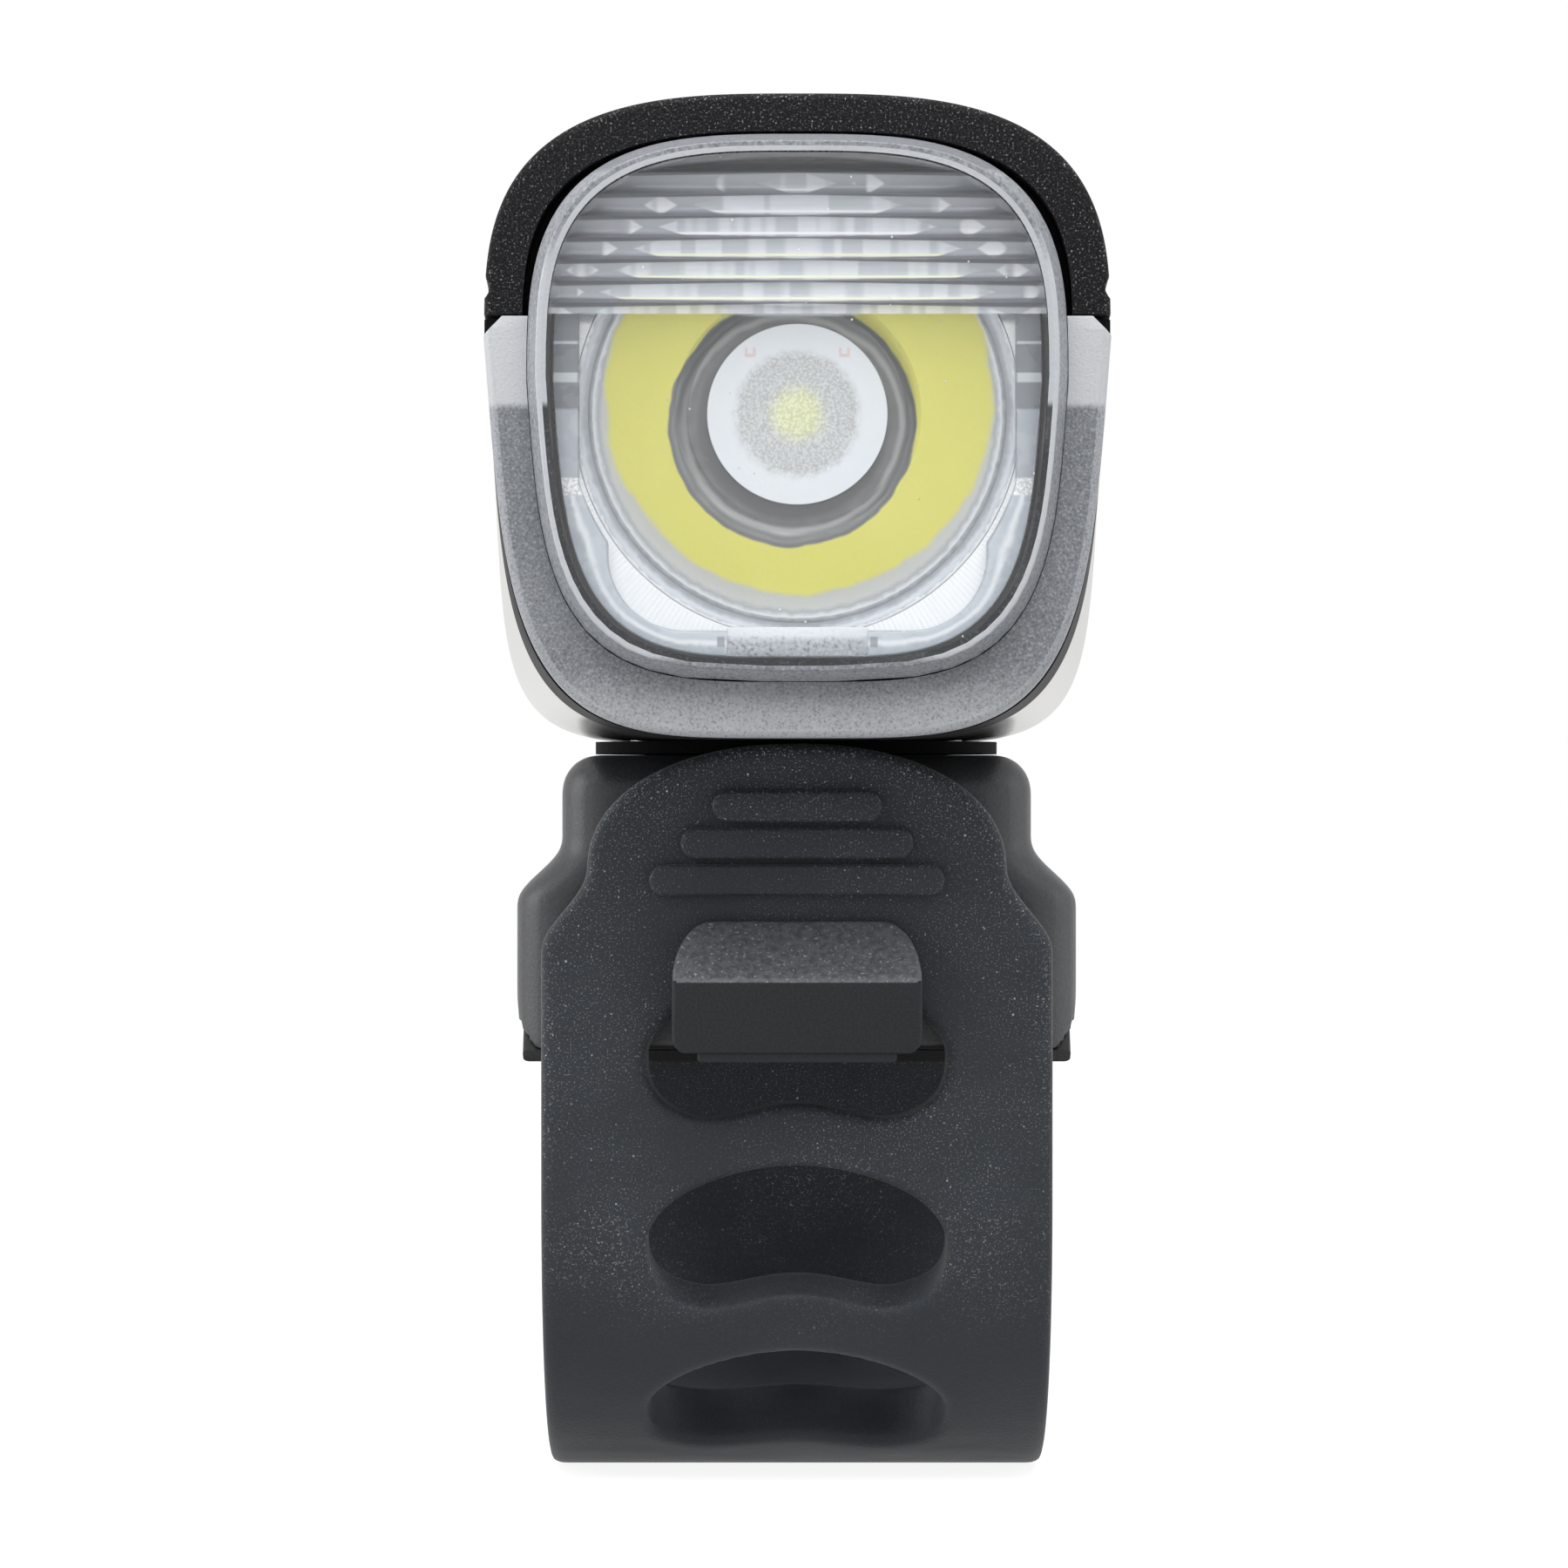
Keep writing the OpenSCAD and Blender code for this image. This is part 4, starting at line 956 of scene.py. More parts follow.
def chamfered(near: float, far: float, low: float, high: float, edge: float) -> list[Spot]:
    """Closed outline of a rectangle with chamfered corners.

    Args:
        near: Least distance from the middle.
        far: Greatest distance from the middle.
        low: One end along the axis.
        high: The other end.
        edge: Size of the chamfers.

    Returns:
        Distance and place along the axis of each point.
    """
    loop = [
        (near + edge, low), (far - edge, low), (far, low + edge), (far, high - edge),
        (far - edge, high), (near + edge, high), (near, high - edge), (near, low + edge),
    ]
    return [*loop, loop[0]]


def distances(line: Points) -> Points:
    """Distance along a line at each of its points."""
    return np.concatenate([[0.0], np.cumsum(np.linalg.norm(np.diff(line, axis=0), axis=1))])


def spread(points: Points, count: int, closed: bool = False) -> Points:
    """Points spaced evenly along a line.

    Args:
        points: Rows of coordinates along the line.
        count: Number of points wanted.
        closed: True if the line returns to its start.

    Returns:
        The new rows.
    """
    line = np.vstack([points, points[:1]]) if closed else points
    along = distances(line)
    wanted = np.linspace(0.0, along[-1], count + 1 if closed else count)
    if closed:
        wanted = wanted[:-1]
    return np.column_stack([np.interp(wanted, along, line[:, k]) for k in range(line.shape[1])])


def at_y(outline: Points, y: float) -> Points:
    """An outline of X and Z placed at y."""
    return np.column_stack([outline[:, 0], np.full(len(outline), y), outline[:, 1]])


def ease(t: Points | float) -> Points | float:
    """Smooth step of a share from 0 to 1."""
    t = np.clip(t, 0.0, 1.0)
    return t * t * (3 - 2 * t)


def round_edge(distance: float, radius: float) -> float:
    """How far a rounded edge has drawn in at a distance from its end face."""
    left = min(radius, max(0.0, radius - distance))
    return radius - math.sqrt(radius ** 2 - left ** 2)


def steps_with_edges(start: float, end: float, edge: float, count: int) -> Points:
    """Places from start to end that crowd where the edges are rounded.

    Args:
        start: First place.
        end: Last place.
        edge: Radius of the edges.
        count: Places between them.

    Returns:
        The places.
    """
    near = edge * (1 - np.cos(quarter(6)))
    middle = np.linspace(start + edge, end - edge, count)
    return np.unique(np.concatenate([start + near, middle, end - near]).round(6))


@dataclass(frozen=True)
class Shield:
    """Superelliptic outline with its own power above and below its widest level, tapering downward."""

    half_w: float
    waist: float
    top: float
    top_power: float
    foot: float
    foot_power: float
    taper: float

    def drawn_in(self, by: float) -> "Shield":
        """The same outline, smaller by the given inset all round."""
        return replace(self, half_w=self.half_w - by, top=self.top - by, foot=self.foot + by)

    def half_width(self, z: Points) -> Points:
        """Half-width at the given heights.

        Args:
            z: The heights.

        Returns:
            The half-widths.
        """
        up = np.clip((z - self.waist) / (self.top - self.waist), 0, 1)
        down = np.clip((self.waist - z) / (self.waist - self.foot), 0, 1)
        above = self.half_w * (1 - up ** self.top_power) ** (1 / self.top_power)
        tapered = self.half_w * (1 - self.taper * down)
        below = tapered * (1 - down ** self.foot_power) ** (1 / self.foot_power)
        return np.where(z > self.waist, above, below)

    def half_at(self, z: float) -> float:
        """Half-width at one height."""
        return float(self.half_width(np.array([z]))[0])

    def holds(self, x: float, z: float) -> bool:
        """Whether a point lies inside the outline."""
        return abs(x) < self.half_at(z)

    def loop(self, count: int = 4000) -> Points:
        """Even points of the whole outline, from the right side up and over.

        Args:
            count: Number of points.

        Returns:
            The points.
        """
        dense = 6000
        a = full_turn(dense)
        up = np.sin(a) >= 0
        power = np.where(up, self.top_power, self.foot_power)
        v = np.sign(np.sin(a)) * np.abs(np.sin(a)) ** (2 / power)
        h = np.sign(np.cos(a)) * np.abs(np.cos(a)) ** (2 / power)
        x = self.half_w * np.where(up, 1.0, 1 + self.taper * v) * h
        z = self.waist + v * np.where(up, self.top - self.waist, self.waist - self.foot)
        return spread(np.column_stack([x, z]), count, closed=True)

    def above(self, z: float, count: int) -> Points:
        """Even points of the part above z, from the right side over the top to the left."""
        return self._part(z, count, 1)

    def below(self, z: float, count: int) -> Points:
        """Even points of the part below z, from the left side under to the right."""
        return self._part(z, count, -1)

    def _part(self, z: float, count: int, side: int) -> Points:
        """Even points of the outline's part on one side of a level.

        Args:
            z: The level.
            count: Number of points.
            side: 1 for the part above it and -1 for the part below.

        Returns:
            The points.
        """
        whole = self.loop()
        edge = side * self.half_at(z)
        part = whole[(whole[:, 1] - z) * side > 0]
        part = part[np.argsort(np.arctan2(part[:, 1] - z, part[:, 0]))]
        return spread(np.vstack([[edge, z], part, [-edge, z]]), count)


@dataclass(frozen=True)
class LampForm:
    """Formulas of the lamp's outlines, which its pieces share."""

    hood_y: float
    rear_y: float
    half_w: float
    foot: float
    top: float
    lens: Shield
    waist: float = 46.0
    parting: float = 47.1
    wall: float = 2.0
    gap: float = 0.1
    belly: float = 1.085
    chin_power: float = 4.3
    belly_power: float = 6.5
    chin_taper: float = 0.1
    crown: float = 0.35
    crown_power: float = 3.05
    tail_in: float = 1.8
    tail_drop: float = 2.0
    tail_lift: float = 0.8

    @classmethod
    def from_frame(cls) -> "LampForm":
        """Reads the lamp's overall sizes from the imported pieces.

        Returns:
            The form.
        """
        lens_low, lens_high = box_mm("front_lens")
        window_low, window_high = box_mm("side_window")
        cover_low, cover_high = box_mm("top_cover")
        lens = Shield(
            half_w=lens_high.x, waist=43.5, top=lens_high.z, top_power=3.2,
            foot=lens_low.z, foot_power=3.8, taper=0.08,
        )
        hood_over_lens = 2.3
        return cls(
            hood_y=cover_low.y, rear_y=cover_high.y, half_w=window_high.x, foot=window_low.z,
            top=lens_high.z + hood_over_lens, lens=lens,
        )

    def section(self, y: float) -> Shield:
        """Housing outline at y: swollen at mid-length and drawn in at the rear.

        Args:
            y: Place along the lamp.

        Returns:
            The outline.
        """
        t = (y - self.hood_y) / (self.rear_y - self.hood_y)
        bow = math.sin(math.pi * t)
        tail = max(0.0, t)
        return Shield(
            half_w=self.half_w + self.belly * bow - self.tail_in * tail ** 4,
            waist=self.waist,
            top=self.top + self.crown * bow - self.tail_drop * tail ** 3,
            top_power=self.crown_power,
            foot=self.foot + self.tail_lift * tail ** 6,
            foot_power=self.chin_power + (self.belly_power - self.chin_power) * bow,
            taper=self.chin_taper * (1 - bow),
        )


def add_object(name: str, data: bpy.types.ID) -> Piece:
    """New object with the given data, linked into the scene.

    Args:
        name: Name of the object.
        data: Its mesh, curve, camera or light.

    Returns:
        The object.
    """
    made = bpy.data.objects.new(name, data)
    bpy.context.scene.collection.objects.link(made)
    return made


def make_piece(name: str, points: Points, faces: Sequence[Sequence[int]]) -> Piece:
    """Makes an object from points in millimetres.

    Args:
        name: Name of the piece.
        points: Rows of X, Y and Z.
        faces: Indices of each face.

    Returns:
        The object, with merged points and outward faces.
    """
    mesh = bpy.data.meshes.new(name)
    mesh.from_pydata((np.asarray(points) * MM).tolist(), [], [list(map(int, f)) for f in faces])
    piece = add_object(name, mesh)
    tidy(piece)
    return piece


@contextmanager
def editing(piece: Piece) -> Iterator[bmesh.types.BMesh]:
    """Opens a piece's mesh and writes it back at the end.

    Args:
        piece: The object.

    Returns:
        The open mesh.
    """
    work = bmesh.new()
    work.from_mesh(piece.data)
    yield work
    work.to_mesh(piece.data)
    work.free()


def tidy(piece: Piece) -> None:
    """Merges doubled points, drops empty faces and turns all faces outward.

    Args:
        piece: The object.
    """
    merge = 0.002 * MM
    with editing(piece) as work:
        bmesh.ops.remove_doubles(work, verts=work.verts, dist=merge)
        bmesh.ops.dissolve_degenerate(work, dist=merge * 0.5, edges=work.edges)
        bmesh.ops.recalc_face_normals(work, faces=work.faces)


def shade(piece: Piece, angle: float = 32.0) -> None:
    """Smooth shading with edges kept sharp above an angle in degrees."""
    piece.data.shade_smooth()
    piece.data.set_sharp_from_angle(angle=math.radians(angle))


def evaluated_mesh(piece: Piece) -> bpy.types.Mesh:
    """New mesh of an object as its modifiers or its curve make it."""
    graph = bpy.context.evaluated_depsgraph_get()
    return bpy.data.meshes.new_from_object(piece.evaluated_get(graph))


def settle(piece: Piece) -> None:
    """Writes a piece's modifiers into its mesh.

    Args:
        piece: The object.
    """
    old = piece.data
    piece.data = evaluated_mesh(piece)
    piece.modifiers.clear()
    bpy.data.meshes.remove(old)


def cut_out(piece: Piece, tool: Piece) -> None:
    """Cuts another object out of a piece and deletes it.

    Args:
        piece: The object that is cut.
        tool: The object that is cut out of it.
    """
    cut = piece.modifiers.new("cut", "BOOLEAN")
    cut.operation = "DIFFERENCE"
    cut.object = tool
    cut.solver = "EXACT"
    settle(piece)
    discard(tool)


def discard(piece: Piece) -> None:
    """Deletes an object's mesh or curve, and the object with it."""
    store = bpy.data.curves if isinstance(piece.data, bpy.types.Curve) else bpy.data.meshes
    store.remove(piece.data)


def slice_off(piece: Piece, point: Vector, normal: Vector) -> None:
    """Cuts away what lies beyond a plane and closes the cut.

    Args:
        piece: The object.
        point: A point of the plane.
        normal: The plane's direction, toward what goes.
    """
    with editing(piece) as work:
        parts = [*work.verts, *work.edges, *work.faces]
        cut = bmesh.ops.bisect_plane(work, geom=parts, plane_co=point, plane_no=normal, clear_outer=True)
        edges = [e for e in cut["geom_cut"] if isinstance(e, bmesh.types.BMEdge)]
        bmesh.ops.holes_fill(work, edges=edges, sides=0)
        bmesh.ops.recalc_face_normals(work, faces=work.faces)


def join(piece: Piece, *others: Piece) -> None:
    """Adds other objects' meshes to a piece and deletes them.

    Args:
        piece: The object that stays.
        others: The objects that it takes in.
    """
    with editing(piece) as work:
        for other in others:
            work.from_mesh(other.data)
            discard(other)


def soften(piece: Piece, width: float, segments: int = 2, angle: float = 40.0) -> None:
    """Rounds a piece's sharp edges by a bevel in millimetres.

    Args:
        piece: The object.
        width: Width of the bevel.
        segments: Steps across it.
        angle: Least angle of a sharp edge, in degrees.
    """
    bevel = piece.modifiers.new("soften", "BEVEL")
    bevel.width = width * MM
    bevel.segments = segments
    bevel.limit_method = "ANGLE"
    bevel.angle_limit = math.radians(angle)
    bevel.miter_outer = "MITER_ARC"
    settle(piece)


def flatten(piece: Piece) -> None:
    """Keeps a piece's large flat faces even where smooth shading meets them."""
    piece.modifiers.new("flatten", "WEIGHTED_NORMAL").keep_sharp = True
    settle(piece)


def mould(piece: Piece, voxel: float, passes: int) -> None:
    """Fuses a piece into one even skin with soft edges, as a moulding has.

    Args:
        piece: The object.
        voxel: Size of the skin's faces in millimetres.
        passes: Rounds of smoothing.
    """
    skin = piece.modifiers.new("skin", "REMESH")
    skin.mode = "VOXEL"
    skin.voxel_size = voxel * MM
    flow = piece.modifiers.new("flow", "SMOOTH")
    flow.factor = 0.5
    flow.iterations = passes
    settle(piece)
    piece.data.shade_smooth()


def band_faces(start: int, other: int, count: int, closed: bool = True) -> list[tuple[int, int, int, int]]:
    """Quads between two rows of points that start at the given indices."""
    last = count if closed else count - 1
    return [(start + i, start + (i + 1) % count, other + (i + 1) % count, other + i) for i in range(last)]


def loft(name: str, rings: Sequence[Points], caps: bool = True) -> Piece:
    """Closed skin over rings of equally many points.

    Args:
        name: Name of the piece.
        rings: The rings in order.
        caps: True to close both ends.

    Returns:
        The object.
    """
    count = len(rings[0])
    faces: list[Sequence[int]] = []
    for j in range(len(rings) - 1):
        faces += band_faces(j * count, (j + 1) * count, count)
    if caps:
        faces.append(range(count))
        last = (len(rings) - 1) * count
        faces.append(range(last + count - 1, last - 1, -1))
    return make_piece(name, np.vstack(rings), faces)


def shell(name: str, outer: Sequence[Points], inner: Sequence[Points], closed: bool) -> Piece:
    """Wall between two lofted skins.

    Args:
        name: Name of the piece.
        outer: Rings of the outer skin.
        inner: Rings of the inner skin, with as many points.
        closed: True if each ring returns to its start.

    Returns:
        The object.
    """
    count = len(outer[0])
    rows = len(outer)
    shift = rows * count
    faces: list[Sequence[int]] = []
    for j in range(rows - 1):
        a, b = j * count, (j + 1) * count
        faces += band_faces(a, b, count, closed)
        faces += band_faces(b + shift, a + shift, count, closed)
        if not closed:
            for edge in (0, count - 1):
                faces.append((a + edge, b + edge, b + edge + shift, a + edge + shift))
    for end in (0, (rows - 1) * count):
        faces += band_faces(end, end + shift, count, closed)
    return make_piece(name, np.vstack([*outer, *inner]), faces)


def lathe(
    name: str,
    profile: Sequence[Spot],
    centre: Sequence[float],
    axis: Sequence[float],
    count: int = 96,
    caps: bool = True,
) -> Piece:
    """Solid of revolution.

    Args:
        name: Name of the piece.
        profile: Radius and distance along the axis of each ring.
        centre: Point that the distances start from.
        axis: Direction of the axis.
        count: Steps round the axis.
        caps: False if the profile is a loop of its own.

    Returns:
        The object.
    """
    turn = full_turn(count)
    rings = [
        np.column_stack([radius * np.cos(turn), radius * np.sin(turn), np.full(count, along)])
        for radius, along in profile
    ]
    piece = loft(name, rings, caps)
    turned = Vector((0, 0, 1)).rotation_difference(Vector(axis)).to_matrix().to_4x4()
    piece.data.transform(Matrix.Translation(Vector(centre) * MM) @ turned)
    return piece


def box_piece(name: str, low: Sequence[float], high: Sequence[float]) -> Piece:
    """Block between two corners, for cuts and as the start of a shaped piece.

    Args:
        name: Name of the block.
        low: Its lowest corner.
        high: Its highest corner.

    Returns:
        The object.
    """
    corners = [(x, y, z) for x in (low[0], high[0]) for y in (low[1], high[1]) for z in (low[2], high[2])]
    faces = [(0, 1, 3, 2), (4, 6, 7, 5), (0, 4, 5, 1), (2, 3, 7, 6), (0, 2, 6, 4), (1, 5, 7, 3)]
    return make_piece(name, np.array(corners, float), faces)


def rod(name: str, radius: float, start: Sequence[float], end: Sequence[float], count: int) -> Piece:
    """Round rod between two points, for cuts."""
    span = Vector(end) - Vector(start)
    return lathe(name, [(radius, 0.0), (radius, span.length)], start, span.normalized(), count)


def extruded(name: str, loops: Sequence[Points], thickness: float, rounding: float) -> Piece:
    """Plate of the given loops in X and Y, about z = 0, with rounded edges; inner loops are holes.

    Args:
        name: Name of the piece.
        loops: Closed outlines, the outer one first.
        thickness: Thickness of the plate.
        rounding: Radius of its edges.

    Returns:
        The object.
    """
    curve = bpy.data.curves.new(name, "CURVE")
    curve.dimensions = "2D"
    curve.fill_mode = "BOTH"
    curve.extrude = (thickness / 2 - rounding) * MM
    curve.bevel_depth = rounding * MM
    curve.bevel_resolution = 3
    curve.offset = -rounding * MM
    for loop in loops:
        line = curve.splines.new("POLY")
        line.points.add(len(loop) - 1)
        line.use_cyclic_u = True
        rows = np.column_stack([loop * MM, np.zeros(len(loop)), np.ones(len(loop))])
        line.points.foreach_set("co", rows.ravel())
    source = add_object(name + "_outline", curve)
    piece = add_object(name, evaluated_mesh(source))
    discard(source)
    tidy(piece)
    return piece


def round_corners(half_w: float, low: float, high: float, radius: float, foot_radius: float) -> Points:
    """Outline of a rectangle about x = 0 with rounded corners, from its lower right corner up.

    Args:
        half_w: Half of the width.
        low: Lower edge.
        high: Upper edge.
        radius: Upper corners.
        foot_radius: Lower corners.

    Returns:
        The points.
    """
    turn = quarter(9)
    foot = np.column_stack([
        half_w - foot_radius * (1 - np.sin(turn)), low + foot_radius * (1 - np.cos(turn))
    ])
    head = np.column_stack([half_w - radius * (1 - np.cos(turn)), high - radius * (1 - np.sin(turn))])
    return mirrored(np.vstack([foot, head]))


def give_finishes(piece: Piece, *finishes: Finish) -> None:
    """Fills a piece's material slots in the given order."""
    for finish in finishes:
        piece.data.materials.append(finish.material())


def dress(piece: Piece, body: str, finish: Finish, *nodes: str) -> None:
    """Gives a piece its finish, its body and the nodes that it stands for.

    Args:
        piece: The object.
        body: Name of the body that it rides on.
        finish: Its main finish.
        nodes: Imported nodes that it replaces.
    """
    if not piece.data.materials:
        give_finishes(piece, finish)
    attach(piece, body)
    if nodes:
        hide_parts(*nodes)
    LOG.info("%s rides on %s, %d faces", piece.name, body, len(piece.data.polygons))


@dataclass
class LensUnit:
    """Clear lens, frosted side window and the black bezel behind them."""

    form: LampForm
    face_t: float = 1.05
    edge: float = 0.1
    bevel: float = 0.5
    line_inset: float = 0.78
    proud: float = 1.5
    rib_count: int = 7
    rib_pitch: float = 1.13
    rib_radius: float = 0.74
    brow_gap: float = 0.47
    rib_slope: float = 0.6
    window_t: float = 2.1
    window_bevel: float = 0.45
    ear_chamfer: float = 1.0
    seat: float = 0.03
    gasket_t: float = 0.5
    ledge_w: float = 1.0
    columns: int = 121
    front_y: float = field(init=False)
    rear_y: float = field(init=False)

    def __post_init__(self) -> None:
        """Reads the lens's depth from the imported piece."""
        low, high = box_mm("front_lens")
        self.front_y, self.rear_y = low.y, high.y

    @property
    def rib_top(self) -> float:
        """Height of the uppermost rib's crest."""
        return self.form.lens.top - self.face_t - self.brow_gap

    def rib_height(self, z: float) -> float:
        """Height of the spreading ribs over the valleys between them; the last rib stops at its crest.

        Args:
            z: Height on the lens.

        Returns:
            The rib's height there.
        """
        place = (self.rib_top - z) / self.rib_pitch
        if not -0.5 <= place <= self.rib_count + 1e-6:
            return 0.0
        off = abs(place - round(place)) * self.rib_pitch
        valley = math.sqrt(self.rib_radius ** 2 - self.rib_pitch ** 2 / 4)
        return math.sqrt(self.rib_radius ** 2 - off ** 2) - valley

    def rows(self) -> list[Points]:
        """Rows of points over the lens's inner face, left to right, from its foot to its top.

        Returns:
            The rows.
        """
        inside = self.form.lens.drawn_in(self.face_t)
        face_y = self.front_y + self.face_t
        rib_foot = self.rib_top - self.rib_count * self.rib_pitch
        foot_rows, per_rib, step_w = 18, 14, 0.02
        heights = np.concatenate([
            inside.foot + (rib_foot - step_w - inside.foot) * np.linspace(0.004, 1, foot_rows) ** 1.6,
            rib_foot + self.rib_pitch / per_rib * np.arange(int((self.rib_count + 0.5) * per_rib) + 1),
        ])
        heights = heights[heights < inside.top - 0.03]
        across = np.sin(np.linspace(-1, 1, self.columns) * math.pi / 2)
        made = []
        for z in heights:
            half = inside.half_at(z)
            x = half * across
            height = np.minimum(self.rib_height(z), (half - np.abs(x)) * self.rib_slope)
            made.append(np.column_stack([x, face_y + height, np.full(len(x), z)]))
        foot = at_y(inside.below(float(heights[0]), self.columns), face_y)
        top = at_y(inside.above(float(heights[-1]), self.columns)[::-1], face_y)
        return [foot, *made, top]

    def build_lens(self) -> None:
        """Clear cup with the ribs inside its face and a textured slope round its edge."""
        rows = self.rows()
        count = len(rows[0])
        points = list(np.vstack(rows))
        faces: list[Sequence[int]] = []
        for j in range(len(rows) - 1):
            faces += band_faces(j * count, (j + 1) * count, count, closed=False)
        last = (len(rows) - 1) * count
        rim = (
            list(range(count))
            + [j * count + count - 1 for j in range(1, len(rows) - 1)]
            + list(range(last + count - 1, last - 1, -1))
            + [j * count for j in range(len(rows) - 2, 0, -1)]
        )
        inner = np.array([points[i] for i in rim])[:, [0, 2]]
        keep = np.concatenate([[True], np.diff(distances(inner)) > 1e-4])
        rim = [i for i, k in zip(rim, keep) if k]
        inner = inner[keep]
        along = distances(np.vstack([inner, inner[:1]]))
        shares = along[:-1] / along[-1]
        rings = [at_y(inner, self.rear_y)]
        rings += [at_y(self._matching(inset, inner[0], shares), y) for inset, y in self._outer_steps()]
        base = len(points)
        n = len(inner)
        faces += [(rim[i], rim[(i + 1) % n], base + (i + 1) % n, base + i) for i in range(n)]
        for j in range(len(rings) - 1):
            faces += band_faces(base + j * n, base + (j + 1) * n, n)
        faces.append([base + (len(rings) - 1) * n + i for i in range(n)])
        piece = make_piece("front_lens_clear", np.vstack([points, *rings]), faces)
        shade(piece, 28)
        edges = (Finishes.RIM, Finishes.LENS_WALL, Finishes.LENS_LINE, Finishes.LENS_RING)
        give_finishes(piece, Finishes.LENS, *edges)
        self._mark_edges(piece)
        dress(piece, "lamp", Finishes.LENS, "front_lens")

    def _outer_steps(self) -> list[Spot]:
        """Inset and y of the outer rings from the rear rim to the face.

        Returns:
            The steps.
        """
        window_y = self.front_y + self.proud
        steps = [(0.0, self.rear_y), (0.0, window_y)]
        slope_y = self.front_y + self.edge
        steps += [(self.bevel * u, window_y + (slope_y - window_y) * u) for u in (0.5, 1.0)]
        steps += [
            (self.bevel + self.edge * (1 - math.cos(a)), slope_y - self.edge * math.sin(a))
            for a in quarter(6)[1:]
        ]
        return [*steps, (self.line_inset, self.front_y), (self.face_t, self.front_y)]

    def _matching(self, inset: float, start: Points, shares: Points) -> Points:
        """Outline at an inset, sampled at the inner rim's shares of its length from the same side.

        Args:
            inset: Inset of the outline.
            start: First point of the inner rim.
            shares: The rim's shares.

        Returns:
            The points.
        """
        loop = self.form.lens.drawn_in(inset).loop()
        first = int(np.argmin(np.linalg.norm(loop - start * (1 + 1e-9), axis=1)))
        loop = np.roll(loop, -first, axis=0)
        line = np.vstack([loop, loop[:1]])
        along = distances(line)
        return np.column_stack([np.interp(shares * along[-1], along, line[:, k]) for k in range(2)])

    def _mark_edges(self, piece: Piece) -> None:
        """Puts the rim's finishes on the slope, on the ring round the face and on the wall behind it, with
        painted light on the ring and the wall and a dark painted line on the inner strip.

        Args:
            piece: The lens.
        """
        # pale and ring take painted light for light carried in the clear edge; dark takes a painted dark
        # line and, higher up, painted light.
        clear, textured, pale, dark, ring = range(5)
        lens = self.form.lens
        face, line = lens.drawn_in(self.face_t - 0.05), lens.drawn_in(self.line_inset)
        for polygon in piece.data.polygons:
            x, y, z = polygon.center / MM
            mark = pale
            if y < self.rear_y - 0.1 and face.holds(x, z):
                mark = clear
            elif self.front_y + self.edge * 0.9 < y < self.front_y + self.proud:
                mark = textured
            elif y < self.front_y + self.edge:
                mark = dark if line.holds(x, z) else ring
            polygon.material_index = mark

    def build_window(self) -> None:
        """Frosted U round the lens's sides and chin, chamfered at its two upper ends."""
        count = 360
        section = self.form.section(self.form.hood_y)
        start = self.front_y + self.proud
        end = start + self.window_t
        top = self.form.parting - self.form.gap
        outer, inner = [], []
        hole = self.form.lens.drawn_in(-self.seat)
        for share in np.linspace(0, 1, 7):
            a = share * math.pi / 2
            inset = self.window_bevel * (1 - math.sin(a))
            y = start + self.window_bevel * 1.3 * (1 - math.cos(a))
            outer.append(at_y(section.drawn_in(inset).below(top, count), y))
            inner.append(at_y(hole.below(top, count), y))
        outer.append(at_y(section.below(top, count), end))
        inner.append(at_y(hole.below(top, count), end))
        piece = shell("side_window_frosted", outer, inner, closed=False)
        for side in (-1, 1):
            corner = Vector((side * (self.form.half_w - self.ear_chamfer), 0, top)) * MM
            slice_off(piece, corner, Vector((side, 0, 1)).normalized())
        soften(piece, 0.1, 2, 35)
        shade(piece, 40)
        # The bevelled front edge takes WINDOW_EDGE, its painted highlight.
        give_finishes(piece, Finishes.FROST, Finishes.WINDOW_EDGE)
        middle = section.drawn_in(self.window_bevel)
        for face in piece.data.polygons:
            x, y, z = face.center / MM
            face.material_index = int(y < start + self.window_bevel and not middle.holds(x, z))
        dress(piece, "lamp", Finishes.FROST, "side_window")

    def build_bezel(self) -> None:
        """Black bezel behind the side window, with the ledge that the lens seats on."""
        count = 240
        low, high = box_mm("front_frame")
        gasket_y = self.rear_y + self.gasket_t
        top = self.form.parting - self.form.gap
        hole = self.form.lens.drawn_in(-self.seat).below(top, count)
        places = np.linspace(low.y, high.y, 6)
        outer = [at_y(self.form.section(y).below(top, count), y) for y in places]
        inner = [at_y(hole, y) for y in places]
        piece = shell("front_bezel", outer, inner, closed=False)
        ledge = self.form.lens.drawn_in(self.ledge_w).loop(count)
        body = self.form.section(gasket_y).drawn_in(self.form.wall + self.seat).loop(count)
        skins = [[at_y(line, y) for y in (gasket_y, high.y)] for line in (body, ledge)]
        step = shell("bezel_ledge", *skins, closed=True)
        join(piece, step)
        shade(piece)
        dress(piece, "lamp", Finishes.BLACK, "front_frame")


